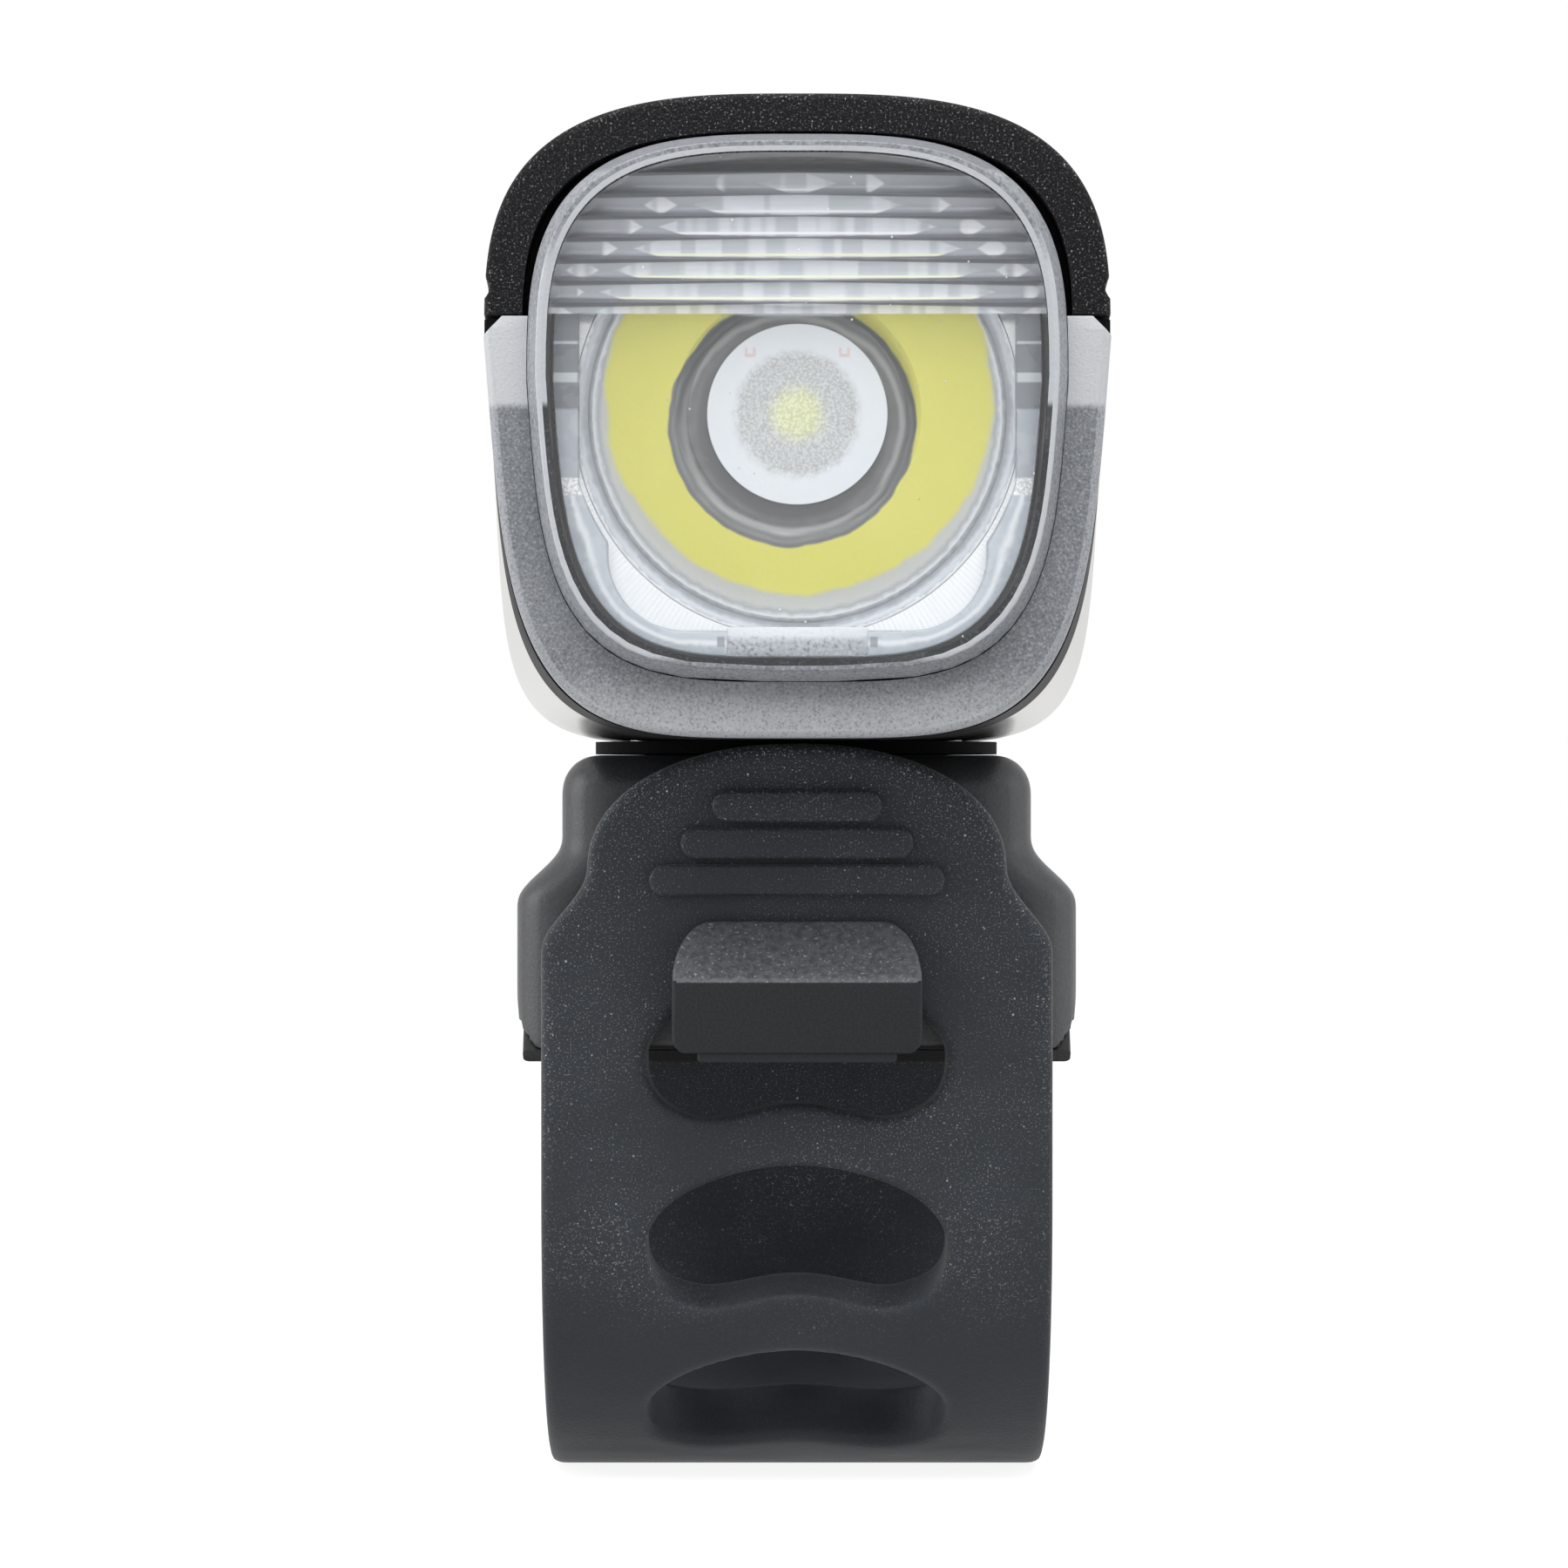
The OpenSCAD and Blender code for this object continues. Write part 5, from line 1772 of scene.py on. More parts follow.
@dataclass
class OpticUnit:
    """Collimator, the pale tray that holds it and the half-clear band round them."""

    form: LampForm
    radius: float = 11.75
    length: float = 12.0
    well_r: float = 6.5
    core_r: float = 4.75
    core_depth: float = 0.7
    well_depth: float = 1.5
    lip: float = 0.2
    flange_t: float = 1.0
    neck_r: float = 10.8
    tail_r: float = 4.6
    inset: float = 1.3
    tray_t: float = 2.2
    tube_gap: float = 0.25
    tube_t: float = 0.8
    tray_top: float = 54.3
    band_h: float = 0.85
    band_edge: float = 0.16
    band_top: float = 47.2
    band_half_w: float = 9.9
    band_round: float = 4.0
    band_w: float = 1.38
    tab_w: float = 7.4
    tab_h: float = 1.55
    front_y: float = field(init=False)
    face_y: float = field(init=False)
    centre_z: float = field(init=False)

    def __post_init__(self) -> None:
        """Reads the collimator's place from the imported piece."""
        low, high = box_mm("tir_optic")
        self.front_y = low.y
        self.face_y = self.front_y - 0.05
        self.centre_z = (low.z + high.z) / 2

    def build_collimator(self) -> None:
        """Moulded collimator with a well and a small domed lens in its face."""
        depth, r, lip = self.core_depth, self.radius, self.lip
        core = [(max(self.core_r * u, ON_AXIS), depth * (0.5 + 0.5 * u * u)) for u in np.linspace(0, 1, 12)]
        well = [(self.core_r + 0.05, self.well_depth), (self.well_r - 0.75, self.well_depth)]
        turn = quarter(5)
        brim = [(self.well_r - lip + lip * math.sin(a), lip - lip * math.sin(a)) for a in turn]
        ring = [(r - 1.0, 0.0), (r - 0.75, 0.18), (r - 0.4, 0.18)]
        edge = [(r - lip + lip * math.sin(a), lip * (1 - math.cos(a))) for a in turn]
        taper, run = self.tail_r - self.neck_r, self.length - self.flange_t
        wall = [
            (self.neck_r + taper * u * u, self.flange_t + run * math.sin(math.pi / 2 * u))
            for u in np.linspace(0, 1, 24)
        ]
        hollow = [(2.6, self.length), (2.34, self.length - 3.4), (ON_AXIS, self.length - 3.8)]
        profile = [*core, *well, *brim, *ring, *edge, (r, self.flange_t), *wall, *hollow]
        piece = lathe("collimator", profile, (0, self.front_y, self.centre_z), (0, 1, 0), 160)
        shade(piece, 30)
        dress(piece, "lamp", Finishes.OPTIC, "tir_optic")

    def build_tray(self) -> None:
        """Pale tray round the collimator, on a tube that stands on the heat sink."""
        loop = self.form.lens.drawn_in(self.inset).loop(240)
        turn = np.arctan2(loop[:, 1] - self.centre_z, loop[:, 0])
        hole_r = self.radius + 0.02
        hole = np.column_stack([hole_r * np.cos(turn), self.centre_z + hole_r * np.sin(turn)])
        back_y = self.face_y + self.tray_t
        places = (self.face_y, back_y)
        skins = [[at_y(line, y) for y in places] for line in (loop, hole)]
        plate = shell("optic_tray", *skins, closed=True)
        end = box_mm("optic_holder")[1].y
        inner = self.radius + self.tube_gap
        outer = inner + self.tube_t
        profile = [(inner, back_y), (outer, back_y), (outer, end), (inner, end), (inner, back_y)]
        tube = lathe("tray_tube", profile, (0, 0, self.centre_z), (0, 1, 0), 120, caps=False)
        slice_off(plate, Vector((0, 0, self.tray_top)) * MM, Vector((0, 0, 1)))
        join(plate, tube)
        shade(plate, 35)
        dress(plate, "lamp", Finishes.TRAY, "optic_holder")

    def band_inside(self, count: int) -> Points:
        """Inner line of the band, from its left top under the collimator to its right top.

        Args:
            count: Number of points.

        Returns:
            The points.
        """
        outline = self.form.lens.drawn_in(self.inset)
        foot = outline.foot + self.band_w
        corner = foot + self.band_round
        z = np.concatenate([
            foot + self.band_round * (1 - np.cos(quarter(40))),
            np.linspace(corner, self.band_top, 60)[1:],
        ])
        drop = np.maximum(corner - z, 0)
        low = self.band_half_w - self.band_round + np.sqrt(np.maximum(self.band_round ** 2 - drop ** 2, 0))
        ring = np.sqrt(np.maximum((self.radius + self.tube_gap) ** 2 - (z - self.centre_z) ** 2, 0))
        upper = outline.half_w - self.band_w
        half = np.minimum(np.maximum(low, ring), upper)
        half[z > self.centre_z] = upper
        right = np.column_stack([half, z])
        return spread(np.vstack([right[::-1] * [-1, 1], right]), count)

    def build_band(self) -> None:
        """Half-clear band that follows the lens's sides and foot, with a frosted clip tab."""
        count, edge = 260, self.band_edge
        outline = self.form.lens.drawn_in(self.inset)
        outside, inside = outline.below(self.band_top, count), self.band_inside(count)
        brink = edge * 0.3
        rows = [(0.0, 0.0), (0.0, self.band_h - edge), (brink, self.band_h - brink), (edge, self.band_h)]
        outer = [at_y(self._toward(outside, inside, d), self.face_y - h) for d, h in rows]
        inner = [at_y(self._toward(inside, outside, d), self.face_y - h) for d, h in rows]
        piece = shell("tray_band", outer, inner, closed=False)
        give_finishes(piece, Finishes.BAND, Finishes.TAB)
        low = (-self.tab_w / 2, self.face_y - self.band_h - 0.1, outline.foot)
        high = (self.tab_w / 2, self.face_y, outline.foot + self.tab_h)
        tab = box_piece("clip_tab", low, high)
        soften(tab, 0.14, 2)
        tab.data.polygons.foreach_set("material_index", [1] * len(tab.data.polygons))
        join(piece, tab)
        spots = np.array([(v.co.x, v.co.z) for v in piece.data.vertices]) / MM
        near, far = (
            np.linalg.norm(spots[:, None] - line[None], axis=2).min(axis=1) for line in (outside, inside)
        )
        share = piece.data.attributes.new(BandPlastic.ACROSS, "FLOAT", "POINT")
        share.data.foreach_set("value", near / (near + far))
        shade(piece, 35)
        dress(piece, "lamp", Finishes.BAND)

    @staticmethod
    def _toward(line: Points, other: Points, distance: float) -> Points:
        """A line moved toward another by a distance."""
        gap = other - line
        return line + gap / np.maximum(np.linalg.norm(gap, axis=1, keepdims=True), 1e-6) * distance


@dataclass
class Housing:
    """Grainy cover and satin shell."""

    form: LampForm
    count: int = 280
    rings: int = 54
    button_hole_r: float = 5.5
    pipe_hole_r: float = 1.13
    groove_lift: float = 1.5
    groove_r: float = 0.6
    groove_len: float = 8.0

    def build_cover(self) -> None:
        """Black cover that makes the hood, with a short groove beside each front corner."""
        low = self.form.parting + self.form.gap
        edge = 0.4
        outer, inner = [], []
        for y in steps_with_edges(self.form.hood_y, self.form.rear_y, edge, self.rings):
            inset = round_edge(y - self.form.hood_y, edge)
            section = self.form.section(y)
            outer.append(self._grooved(at_y(section.drawn_in(inset).above(low, self.count), y)))
            inner.append(at_y(section.drawn_in(self.form.wall).above(low, self.count), y))
        piece = shell("hood_cover", outer, inner, closed=False)
        top = self.form.top + 5
        for radius, y in ((self.button_hole_r, BUTTON_Y), (self.pipe_hole_r, PIPE_Y)):
            cut_out(piece, rod("hole", radius, (0, y, low), (0, y, top), 96))
        shade(piece)
        dress(piece, "lamp", Finishes.COVER, "top_cover")

    def _grooved(self, ring: Points) -> Points:
        """A ring of the cover, dented where the groove runs.

        Args:
            ring: Points of the ring.

        Returns:
            The ring.
        """
        y = ring[0, 1]
        if y > self.form.hood_y + self.groove_len:
            return ring
        centre = self.form.half_w + self.groove_r / 2
        off = np.abs(ring[:, 2] - self.form.parting - self.groove_lift)
        reach = np.sqrt(np.maximum(self.groove_r ** 2 - off ** 2, 0))
        limit = np.where(off < self.groove_r, centre - reach, np.inf)
        ring[:, 0] = np.clip(ring[:, 0], -limit, limit)
        return ring

    def build_shell(self) -> None:
        """Satin aluminium shell under the cover."""
        low = box_mm("lower_shell")[0].y
        top = self.form.parting - self.form.gap
        sections = [(y, self.form.section(y)) for y in np.linspace(low, self.form.rear_y, self.rings)]
        outer = [at_y(part.below(top, self.count), y) for y, part in sections]
        inner = [at_y(part.drawn_in(self.form.wall).below(top, self.count), y) for y, part in sections]
        piece = shell("satin_shell", outer, inner, closed=False)
        shade(piece)
        dress(piece, "lamp", Finishes.SHELL, "lower_shell")


@dataclass
class RearEnd:
    """Domed rear cap, its socket screws and the rubber flap over the charging port."""

    form: LampForm
    seal_t: float = 0.4
    dome: float = 1.7
    dome_power: float = 1.8
    port_half_w: float = 5.0
    port_half_h: float = 2.4
    port_z: float = 51.3
    flap_half_w: float = 6.3
    flap_t: float = 1.0
    flap_gap: float = 0.15
    hinge_z: float = 48.2
    plug_half_w: float = 4.7
    plug_half_h: float = 2.0
    plug_t: float = 1.2
    head_r: float = 1.55
    head_t: float = 1.1
    head_sunk: float = 0.8
    shank_r: float = 0.78
    screws: tuple[Spot, ...] = ((-10.0, 31.6), (10.0, 31.6), (-11.2, 49.7), (11.2, 49.7))
    end_y: float = field(init=False)
    flap_top: float = field(init=False)

    def __post_init__(self) -> None:
        """Reads the cap's end and the flap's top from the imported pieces."""
        self.end_y = box_mm("rear_cap")[1].y
        self.flap_top = box_mm("port_cover")[1].z

    def build_cap(self) -> None:
        """Domed cap with a recess for the flap, the port's mouth and sunk screw holes."""
        section = self.form.section(self.form.rear_y)
        start = self.form.rear_y + self.seal_t
        rings = []
        for t in np.sin(quarter(16)):
            inset = self.dome * (1 - math.sqrt(max(0.0, 1 - t ** self.dome_power)))
            rings.append(at_y(section.drawn_in(inset).loop(240), start + (self.end_y - start) * t))
        piece = loft("domed_rear_cap", rings)
        beyond = self.end_y + 1
        half_w = self.flap_half_w + self.flap_gap
        foot = self.hinge_z - self.flap_t / 2 - self.flap_gap * 1.7
        low = (-half_w, self.end_y - self.flap_t, foot)
        cut_out(piece, box_piece("flap_recess", low, (half_w, beyond, self.flap_top + self.flap_gap)))
        low = (-self.port_half_w, start - 1, self.port_z - self.port_half_h)
        high = (self.port_half_w, beyond, self.port_z + self.port_half_h)
        cut_out(piece, box_piece("port_mouth", low, high))
        sunk = self.end_y - self.head_sunk - self.head_t - self.form.gap
        for x, z in self.screws:
            cut_out(piece, rod("screw_hole", self.head_r + self.form.gap, (x, sunk, z), (x, beyond, z), 48))
        soften(piece, 0.14, 2, 45)
        shade(piece, 35)
        flatten(piece)
        dress(piece, "lamp", Finishes.BLACK, "rear_cap")

    def build_screws(self) -> None:
        """Socket-head screws with chamfered rims."""
        base = self.end_y - self.head_sunk - self.head_t
        tip = box_mm("cap_screws")[0].y - base
        shank = [(ON_AXIS, tip), (self.shank_r - 0.2, tip), (self.shank_r, tip + 0.3), (self.shank_r, 0.0)]
        under = [(self.head_r - 0.1, 0.0), (self.head_r, 0.1), (self.head_r, self.head_t - 0.3)]
        rim = [(self.head_r - 0.12, self.head_t - 0.08), (1.3, self.head_t), (0.95, self.head_t)]
        profile = [*shank, *under, *rim, (ON_AXIS, self.head_t)]
        made = []
        for x, z in self.screws:
            screw = lathe("socket_screws", profile, (x, base, z), (0, 1, 0), 48)
            cut_out(screw, rod("socket", 0.85, (x, base + 0.35, z), (x, self.end_y + 1, z), 6))
            made.append(screw)
        join(*made)
        shade(made[0], 30)
        dress(made[0], "lamp", Finishes.SCREW, "cap_screws")

    def build_flap(self) -> None:
        """Rubber flap with a rounded top, finger grooves, its hinge bead and the plug behind it."""
        bead_r = self.flap_t / 2 - 0.03
        outline = round_corners(self.flap_half_w, self.hinge_z, self.flap_top, 1.1, 0.1)
        piece = extruded("port_flap_rubber", [outline], bead_r * 2, 0.16)
        middle = self.end_y - self.flap_t / 2
        piece.data.transform(Matrix.Translation((0, middle * MM, 0)) @ Matrix.Rotation(math.pi / 2, 4, "X"))
        for drop in (0.9, 1.6, 2.3):
            z = self.flap_top - drop
            at = middle + bead_r + 0.16
            cut_out(piece, rod("groove", 0.3, (-3.6, at, z), (3.6, at, z), 24))
        edge = 0.1
        span = 2 * self.flap_half_w
        bead = [(bead_r - edge, 0.0), (bead_r, edge), (bead_r, span - edge), (bead_r - edge, span)]
        hinge = lathe("hinge_bead", bead, (-self.flap_half_w, middle, self.hinge_z), (1, 0, 0), 40)
        low = (-self.plug_half_w, self.end_y - self.flap_t - self.plug_t, self.port_z - self.plug_half_h)
        high = (self.plug_half_w, middle, self.port_z + self.plug_half_h)
        plug = box_piece("port_plug", low, high)
        soften(plug, 0.35, 3)
        join(piece, hinge, plug)
        shade(piece, 35)
        dress(piece, "port_flap", Finishes.SEAL, "port_cover")


@dataclass
class Seals:
    """Rubber seals behind the lens and under the rear cap."""

    form: LampForm
    lens_w: float = 1.0
    edge: float = 0.08

    def bead(self, name: str, outline: Shield, outer: float, inner: float, node: str) -> None:
        """Builds a bead between two insets of an outline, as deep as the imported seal.

        Args:
            name: Name of the piece.
            outline: The outline.
            outer: Inset of its outer side.
            inner: Inset of its inner side.
            node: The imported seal.
        """
        low, high = box_mm(node)
        profile = chamfered(outer, inner, low.y, high.y, self.edge)
        rings = [at_y(outline.drawn_in(inset).loop(240), y) for inset, y in profile]
        piece = loft(name, rings, caps=False)
        shade(piece, 40)
        dress(piece, "lamp", Finishes.SEAL, node)

    def build(self) -> None:
        """Builds both seals."""
        wall, tail = self.form.wall, self.form.section(self.form.rear_y)
        self.bead("lens_seal", self.form.lens, 0.0, self.lens_w, "lens_gasket")
        self.bead("cap_seal", tail, wall * 0.25, wall * 0.75, "rear_gasket")


@dataclass
class Controls:
    """Rubber power button and the light pipe in front of it."""

    radius: float = 5.4
    edge: float = 0.6
    flange_r: float = 6.4
    flange_low: float = 54.28
    flange_high: float = 55.38
    stem_r: float = 1.5
    pipe_r: float = 1.1
    pipe_foot_r: float = 1.7
    pipe_foot_t: float = 1.1

    def build_button(self) -> None:
        """Button with a raised rim round a dished top and a small ridge at its middle."""
        low, high = (corner.z for corner in box_mm("power_button"))
        dish = [(r, high - 0.3 + 0.3 * (r / 4.5) ** 2.4) for r in np.linspace(1.7, 4.5, 10)]
        ridge = [(ON_AXIS, high - 0.12), (0.9, high - 0.13), (1.3, high - 0.2)]
        inside, under, edge = self.radius - self.edge, high - self.edge, self.edge
        rim = [(inside + edge * math.sin(a), under + edge * math.cos(a)) for a in quarter(7)]
        foot = [
            (self.radius, self.flange_high), (self.flange_r - 0.1, self.flange_high),
            (self.flange_r, self.flange_high - 0.1), (self.flange_r, self.flange_low),
            (self.stem_r, self.flange_low), (self.stem_r, low), (ON_AXIS, low),
        ]
        profile = [*ridge, *dish, *rim, *foot]
        piece = lathe("button_cap", profile, (0, BUTTON_Y, 0), (0, 0, 1), 120)
        shade(piece, 35)
        dress(piece, "button", Finishes.BUTTON, "power_button")

    def build_pipe(self) -> None:
        """Light pipe with a domed end on a wider foot."""
        low, high = (corner.z for corner in box_mm("indicator_pipe"))
        step = low + self.pipe_foot_t
        foot = [(ON_AXIS, low), (self.pipe_foot_r, low), (self.pipe_foot_r, step), (self.pipe_r, step)]
        dome = [
            (max(self.pipe_r * math.cos(a), ON_AXIS), high - 0.35 * (1 - math.sin(a))) for a in quarter(7)
        ]
        piece = lathe("light_pipe", [*foot, *dome], (0, PIPE_Y, 0), (0, 0, 1), 48)
        shade(piece, 35)
        dress(piece, "lamp", Finishes.PIPE, "indicator_pipe")


@dataclass
class StrapForm:
    """Rubber strap, drawn flat and then wrapped round the handlebar."""

    width: float = 27.8
    thickness: float = 3.5
    mid_r: float = 14.45
    tongue_top: float = 24.8
    tongue_w: float = 22.8
    tongue_round: float = 6.8
    tongue_power: float = 2.15
    shoulder: float = 4.5
    tail_w: float = 18.0
    tail_taper: float = 7.0
    pin_z: float = 14.0
    pin_r: float = 1.35
    eyelet_r: float = 2.9
    hole_w: float = 16.2
    hole_rise: float = 3.9
    hole_drop: float = 3.9
    hole_swell: float = 1.2
    hole_top_power: float = 1.8
    hole_foot_power: float = 3.0
    hole_pitch: float = 10.0
    hole_level: float = 8.0
    holes: int = 3
    rib_top: float = 21.4
    rib_pitch: float = 2.0
    rib_h: float = 1.7
    rib_w: float = 9.2
    rib_step: float = 3.4
    rib_proud: float = 0.7
    rib_sunk: float = 0.5
    rib_edge: float = 0.22
    ribs: int = 3
    edge: float = 0.5

    @property
    def wrap(self) -> float:
        """Length of the half turn under the bar along the strap's mid-line."""
        return math.pi * self.mid_r

    def half_width(self, s: Points) -> Points:
        """Half-width at distances along the strap, upward from the bar's axis level.

        Args:
            s: The distances.

        Returns:
            The half-widths.
        """
        tongue, full, tail = self.tongue_w / 2, self.width / 2, self.tail_w / 2
        level = self.tongue_top - self.tongue_round
        rise = np.clip((s - level) / self.tongue_round, 0, 1)
        cap = tongue * np.maximum(0, 1 - rise ** self.tongue_power) ** (1 / self.tongue_power)
        side = tongue + (full - tongue) * ease((level - s) / self.shoulder)
        rear = full + (tail - full) * ease((-s - self.wrap) / self.tail_taper)
        return np.where(s > level, cap, np.where(s > -self.wrap, side, rear))

    def outline(self) -> Points:
        """Flat outline, from the tail's right end up to the tongue and down the left side.

        Returns:
            The points.
        """
        tail_end = -self.wrap - self.pin_z
        level = self.tongue_top - self.tongue_round
        crest = level + self.tongue_round * np.sin(quarter(60))
        s = np.concatenate([np.linspace(tail_end, level, 240)[:-1], crest])
        right = np.column_stack([self.half_width(s), s])
        left = right[::-1][1:] * [-1, 1]
        return np.vstack([right, left])

    def hole(self, level: float) -> Points:
        """Kidney-shaped buttonhole about the level of its ends.

        Args:
            level: Level of its ends.

        Returns:
            The points.
        """
        w = self.hole_w / 2
        x = w * np.sin(np.linspace(-math.pi / 2, math.pi / 2, 61))
        up, down = self.hole_top_power, self.hole_foot_power
        top = self.hole_rise * np.maximum(0, 1 - np.abs(x / w) ** up) ** (1 / up)
        swell = np.maximum(0, 1 - (x / (w * 0.7)) ** 2) ** 2 * self.hole_swell
        foot = swell - self.hole_drop * np.maximum(0, 1 - np.abs(x / w) ** down) ** (1 / down)
        upper = np.column_stack([x, top])
        lower = np.column_stack([x, foot])[::-1][1:-1]
        return np.vstack([upper, lower]) + [0, level]

    def bar(self, level: float, length: float) -> Points:
        """Round-ended outline of one grip rib.

        Args:
            level: Level of the rib.
            length: Its length.

        Returns:
            The points.
        """
        run, r = (length - self.rib_h) / 2, self.rib_h / 2
        a = np.linspace(-math.pi / 2, math.pi / 2, 17)
        return mirrored(np.column_stack([run + r * np.cos(a), level + r * np.sin(a)]))

    def bend(self, flat: Points) -> Points:
        """Wraps flat points of across, along and outward round the bar.

        Args:
            flat: The flat points.

        Returns:
            The bent points.
        """
        across, s, out = flat.T
        r = self.mid_r + out
        angle = np.clip(-s / self.mid_r, 0, math.pi)
        y = -r * np.cos(angle)
        z = -r * np.sin(angle) + np.maximum(s, 0) + np.maximum(-s - self.wrap, 0)
        return np.column_stack([across, y, z])

    def build(self) -> None:
        """Strap with its tongue, grip ribs, buttonholes and rear eyelet, moulded in one."""
        loops = [self.outline()]
        loops += [self.hole(self.hole_level - i * self.hole_pitch) for i in range(self.holes)]
        piece = extruded("rubber_strap", loops, self.thickness, self.edge)
        mould(piece, 0.26, 3)
        depth = self.rib_proud + self.rib_sunk
        for i in range(self.ribs):
            line = self.bar(self.rib_top - i * self.rib_pitch, self.rib_w + i * self.rib_step)
            grip = extruded("grip", [line], depth, self.rib_edge)
            lift = self.thickness / 2 + self.rib_proud - depth / 2
            grip.data.transform(Matrix.Translation((0, 0, lift * MM)))
            join(piece, grip)
        flat = np.zeros(len(piece.data.vertices) * 3)
        piece.data.vertices.foreach_get("co", flat)
        bent = self.bend(flat.reshape(-1, 3) / MM) * MM
        piece.data.vertices.foreach_set("co", bent.ravel())
        half = self.tail_w / 2
        eyelet = chamfered(self.pin_r, self.eyelet_r, -half, half, 0.4)
        join(piece, lathe("eyelet", eyelet, (0, self.mid_r, self.pin_z), (1, 0, 0), 64, caps=False))
        shade(piece, 50)
        dress(piece, "mount", Finishes.STRAP, "strap")


@dataclass
class Mount:
    """Bracket with its hook, saddle pad, strap and pin."""

    strap: StrapForm = field(default_factory=StrapForm)
    face_y: float = -12.4
    lip_y: float = -16.5
    lip_z: float = 8.2
    lip_w: float = 13.4
    lip_h: float = 7.0
    lip_t: float = 3.8
    lip_edge: float = 0.5
    corner_w: float = 2.1
    corner_h: float = 3.1
    root_w: float = 10.7
    post_w: float = 9.0
    post_z: float = 7.7
    post_h: float = 3.0
    bar_r: float = 12.7
    pad_t: float = 1.5
    pad_arc: float = 112.0
    pad_grooves: int = 13
    pad_groove: float = 0.3

    def build_bracket(self) -> None:
        """Moulded block that flares to a skirt over the bar, without its hook."""
        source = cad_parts["bracket"]
        piece = add_object("bracket_body", source.data.copy())
        piece.data.materials.clear()
        tidy(piece)
        slice_off(piece, Vector((0, self.face_y + 0.01, 0)) * MM, Vector((0, -1, 0)))
        mould(piece, 0.24, 3)
        dress(piece, "mount", Finishes.BRACKET, "bracket")

    def build_hook(self) -> None:
        """Hook for the strap: sloped lip with rounded upper corners, its root and the post behind it."""
        top = self.lip_z + self.lip_h
        front = self.lip_y - self.lip_t
        turn = quarter(13)
        half = self.lip_w / 2
        corner = np.column_stack([
            half - self.corner_w * (1 - np.cos(turn)), top - self.corner_h * (1 - np.sin(turn))
        ])
        foot = np.array([(half - self.lip_edge, self.lip_z), (half, self.lip_z + self.lip_edge)])
        outline = mirrored(np.vstack([foot, corner]))
        piece = loft("strap_hook", [at_y(outline, y) for y in (front, self.lip_y)])
        slice_off(piece, Vector((0, front + self.corner_h, top)) * MM, Vector((0, -1, 1)).normalized())
        soften(piece, 0.25, 3, 20)
        root = box_piece(
            "hook_root",
            (-self.root_w / 2, front + 0.25, self.lip_z - 0.5),
            (self.root_w / 2, self.lip_y, self.lip_z + 0.4),
        )
        soften(root, 0.2, 2)
        post = box_piece(
            "hook_post",
            (-self.post_w / 2, self.lip_y - 0.5, self.post_z),
            (self.post_w / 2, self.face_y + 0.4, self.post_z + self.post_h),
        )
        soften(post, 0.3, 2)
        join(piece, root, post)
        shade(piece, 50)
        # Painted light and shade: faces that look up and forward take the lighter copy, all others the
        # darker one.
        give_finishes(piece, Finishes.HOOK_SHADED, Finishes.HOOK_LIT)
        for face in piece.data.polygons:
            face.material_index = int(face.normal.z > 0.35 and face.normal.y < -0.35)
        dress(piece, "mount", Finishes.HOOK_SHADED)

    def build_pad(self) -> None:
        """Rubber pad over the bar, with gripping grooves along its inner side."""
        low, high = (corner.x for corner in box_mm("saddle_pad"))
        count, edge, half = 300, 0.35, math.radians(self.pad_arc / 2)
        angle = np.linspace(-half, half, count)
        wave = 0.5 - 0.5 * np.cos(angle / half * math.pi * self.pad_grooves)
        groove = self.pad_groove * np.clip(wave * 2 - 1, 0, 1)
        outer, inner = [], []
        for x in steps_with_edges(low, high, edge, 8):
            drawn = round_edge(min(x - low, high - x), edge)
            radii = (self.bar_r + self.pad_t - drawn, self.bar_r + groove + drawn)
            for rows, r in zip((outer, inner), radii):
                rows.append(np.column_stack([np.full(count, x), r * np.sin(angle), r * np.cos(angle)]))
        piece = shell("saddle_pad_rubber", outer, inner, closed=False)
        shade(piece, 40)
        dress(piece, "mount", Finishes.SEAL, "saddle_pad")

    def build_pin(self) -> None:
        """Steel pin of the strap's eyelet, with chamfered and dimpled ends."""
        low, high = box_mm("strap_pin")
        centre, size = (low + high) / 2, high - low
        r, edge = size.z / 2, 0.3
        end = [(ON_AXIS, 0.25), (r * 0.35, 0.2), (r * 0.45, 0.0), (r - edge, 0.0), (r, edge)]
        profile = [*end, *[(a, size.x - b) for a, b in reversed(end)]]
        piece = lathe("eyelet_pin", profile, (low.x, centre.y, centre.z), (1, 0, 0), 48)
        shade(piece, 30)
        dress(piece, "mount", Finishes.SCREW, "strap_pin")


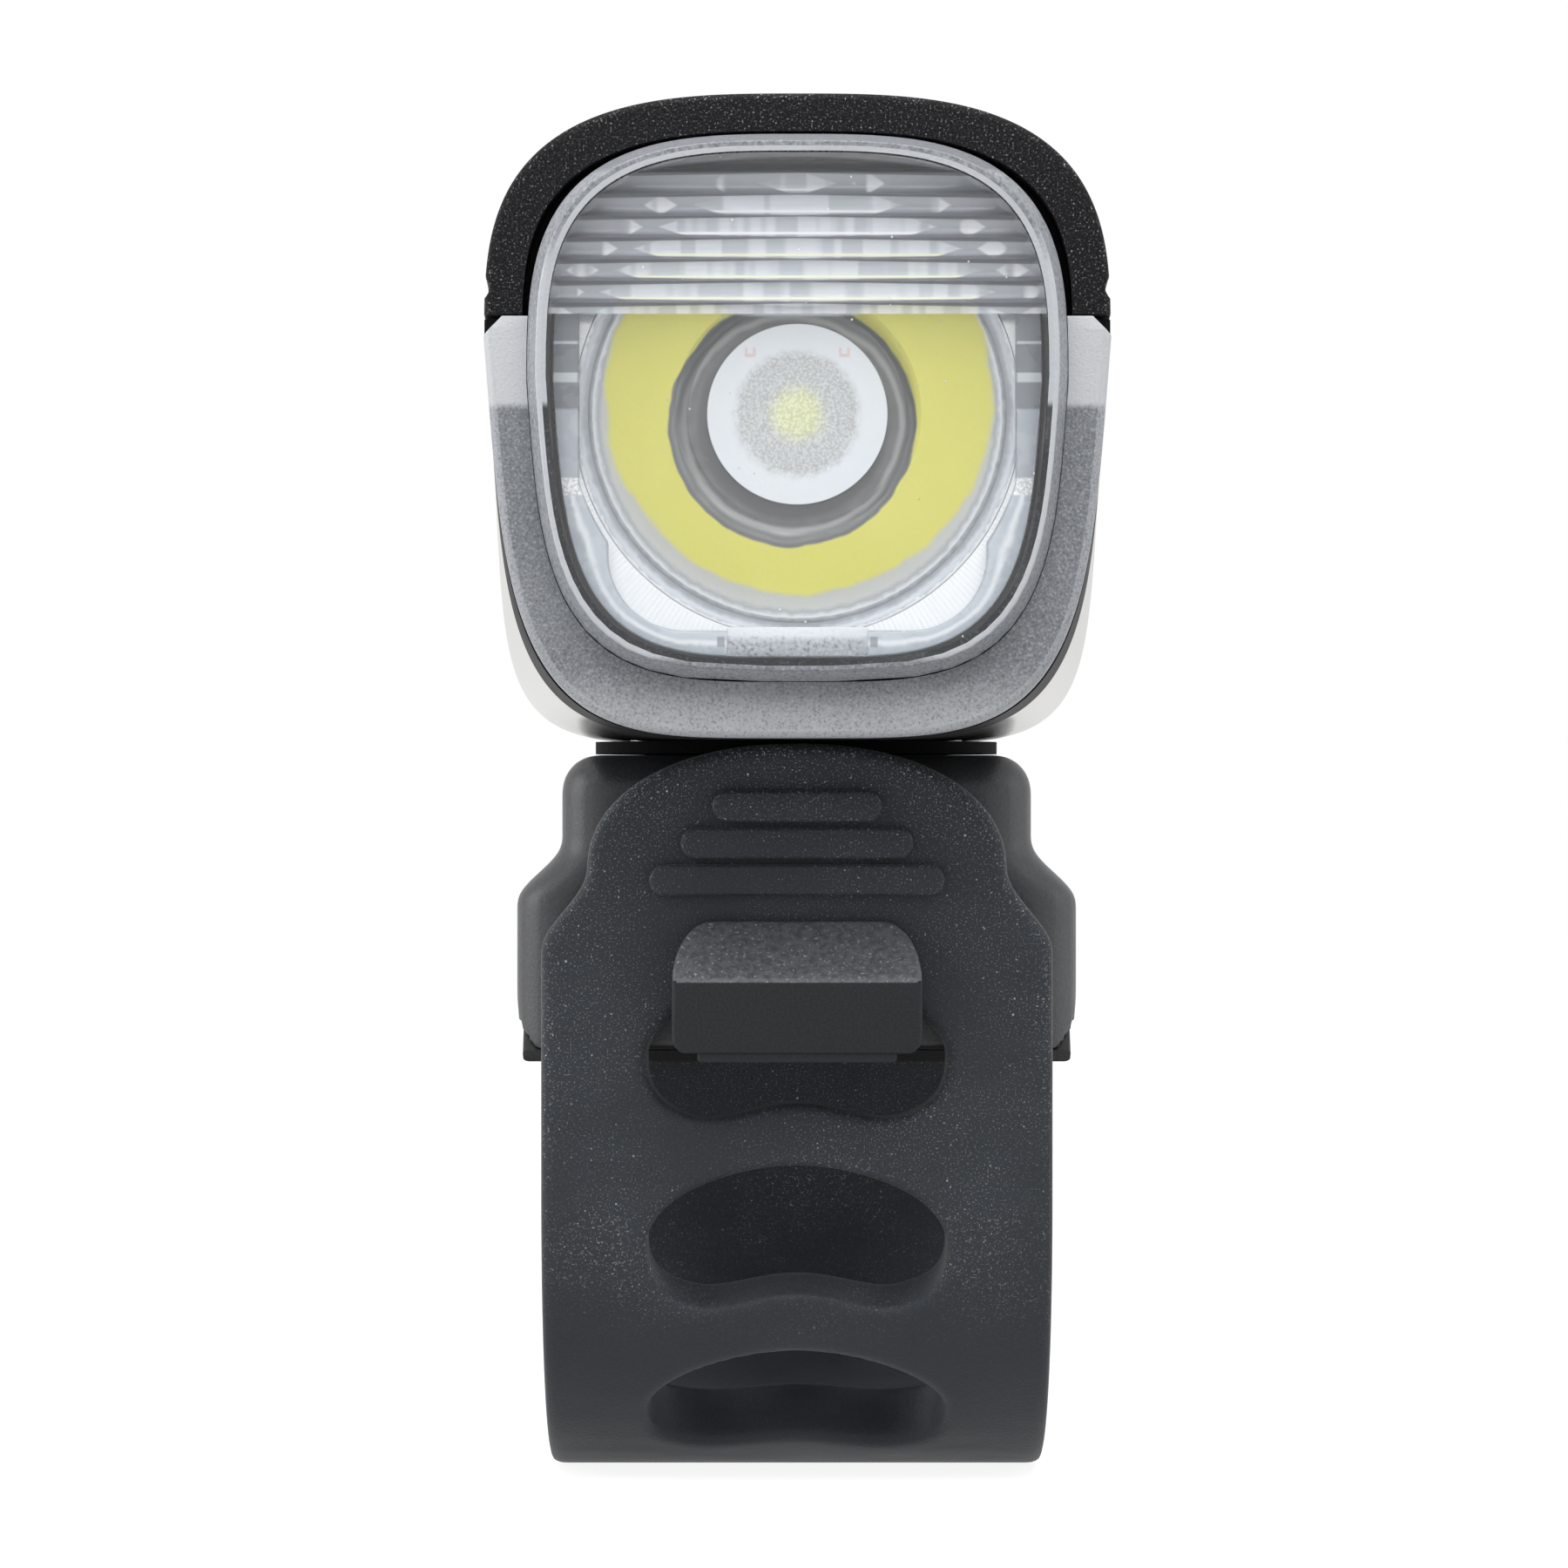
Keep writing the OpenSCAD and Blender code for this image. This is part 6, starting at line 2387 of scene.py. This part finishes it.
@dataclass
class Studio:
    """Pale floor, soft lamps, white surroundings and the camera."""

    eye: tuple[float, float, float] = (-0.7, -288.0, 22.6)
    focal: float = 115.2
    sensor: float = 36.0
    sky: float = 0.3
    floor_half: float = 3000.0

    def build_camera(self) -> None:
        """Camera at the photograph's place, level and straight ahead."""
        data = bpy.data.cameras.new("camera")
        data.sensor_width = self.sensor
        data.lens = self.focal
        data.clip_start = 0.01
        data.clip_end = 20.0
        camera = add_object("camera", data)
        camera.location = Vector(self.eye) * MM
        camera.rotation_euler = (math.radians(90), 0, 0)
        bpy.context.scene.camera = camera

    @staticmethod
    def _seen(graph: Graph) -> Value:
        """1 for rays that show the surroundings directly, in a mirror or through glass.

        Args:
            graph: The graph of a material or world.

        Returns:
            The share.
        """
        path = graph.add("ShaderNodeLightPath").socket.node
        names = ("Is Camera Ray", "Is Glossy Ray", "Is Transmission Ray")
        camera, glossy, through = (Value(graph, path.outputs[n]) for n in names)
        return camera.most(glossy).most(through)

    def build_world(self) -> None:
        """White surroundings, with less of them falling on the object than the camera sees."""
        world = bpy.data.worlds.new("surroundings")
        bpy.context.scene.world = world
        graph = Graph(world)
        strength = self.sky + self._seen(graph) * (1 - self.sky)
        sky = graph.add("ShaderNodeBackground", None, {"Color": (1, 1, 1, 1), "Strength": strength})
        graph.output(sky, "ShaderNodeOutputWorld")

    def build_floor(self) -> None:
        """Wide pale floor that keeps a soft shadow."""
        half, z = self.floor_half, CAD_BOX[0].z / MM
        corners = np.array([(-half, -half, z), (half, -half, z), (half, half, z), (-half, half, z)])
        floor = make_piece("floor", corners, [(0, 1, 2, 3)])
        graph = Graph(bpy.data.materials.new("floor_paper"))
        fibre = graph.noise(0.6, 2.0)
        tone = graph.tone(fibre, (0.44, 0.44, 0.44), (0.48, 0.48, 0.48))
        paper = graph.add("ShaderNodeBsdfDiffuse", None, {"Color": tone})
        dim = graph.add("ShaderNodeBsdfDiffuse", None, {"Color": (0.4, 0.4, 0.4, 1)})
        white = graph.add("ShaderNodeEmission", None, {"Color": (1, 1, 1, 1), "Strength": 0.88})
        bright = graph.add("ShaderNodeAddShader", None, {0: dim, 1: white})
        graph.output(graph.mixed(self._seen(graph), paper, bright))
        floor.data.materials.append(graph.owner)

    @staticmethod
    def add_lamp(
        name: str, place: Sequence[float], aim: Sequence[float], size: Sequence[float], power: float
    ) -> None:
        """Soft rectangular lamp.

        Args:
            name: Name of the lamp.
            place: Its centre in millimetres.
            aim: The point that it faces.
            size: Its width and height.
            power: Its power in watts.
        """
        data = bpy.data.lights.new(name, "AREA")
        data.shape = "RECTANGLE"
        data.size, data.size_y = size[0] * MM, size[1] * MM
        data.energy = power
        lamp = add_object(name, data)
        lamp.location = Vector(place) * MM
        lamp.rotation_euler = (Vector(aim) - Vector(place)).to_track_quat("-Z", "Y").to_euler()

    def build_lamps(self) -> None:
        """Overhead softbox and two side softboxes."""
        self.add_lamp("overhead", (0, -190, 420), (0, 0, 20), (520, 420), 2.1)
        for side, power, name in ((-1, 0.98, "left_side"), (1, 0.4, "right_side")):
            self.add_lamp(name, (side * 430, -60, 90), (0, -10, 25), (300, 400), power)

    def build(self) -> None:
        """Builds the whole studio, with colours shown as they are written."""
        bpy.context.scene.view_settings.view_transform = "Standard"
        self.build_camera()
        self.build_world()
        self.build_floor()
        self.build_lamps()


CARRIED: dict[str, Finish] = {
    "frame_screws": Finishes.SCREW,
    "led_emitter": Finishes.PHOSPHOR,
    "led_board": Finishes.WHITE_BOARD,
    "led_board_screws": Finishes.SCREW,
    "led_leads": Finishes.WIRE,
    "heat_sink": Finishes.SINK,
    "battery_cell": Finishes.CELL,
    "battery_cradle": Finishes.BLACK,
    "cell_tabs": Finishes.NICKEL,
    "foam_pad": Finishes.FOAM,
    "driver_board": Finishes.GREEN_BOARD,
    "button_switch": Finishes.SWITCH,
    "charge_socket": Finishes.SOCKET,
    "swivel_foot": Finishes.FOOT_SHADED,
    "foot_screws": Finishes.SCREW,
    "pivot_washer": Finishes.SCREW,
    "pivot_screw": Finishes.SCREW,
}


def dress_carried() -> None:
    """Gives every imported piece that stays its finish."""
    for name, finish in CARRIED.items():
        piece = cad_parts[name]
        piece.data.materials.clear()
        give_finishes(piece, finish)
        LOG.info("%s keeps its packed shape", name)


def main() -> None:
    """Builds the headlight's pieces and the studio round them."""
    logging.basicConfig(level=logging.INFO, format="%(message)s")
    form = LampForm.from_frame()
    Studio().build()
    lens = LensUnit(form)
    lens.build_lens()
    lens.build_window()
    lens.build_bezel()
    optic = OpticUnit(form)
    optic.build_collimator()
    optic.build_tray()
    optic.build_band()
    housing = Housing(form)
    housing.build_cover()
    housing.build_shell()
    rear = RearEnd(form)
    rear.build_cap()
    rear.build_screws()
    rear.build_flap()
    Seals(form).build()
    controls = Controls()
    controls.build_button()
    controls.build_pipe()
    mount = Mount()
    mount.build_bracket()
    mount.build_hook()
    mount.build_pad()
    mount.build_pin()
    mount.strap.build()
    dress_carried()


if __name__ == "__main__":
    main()
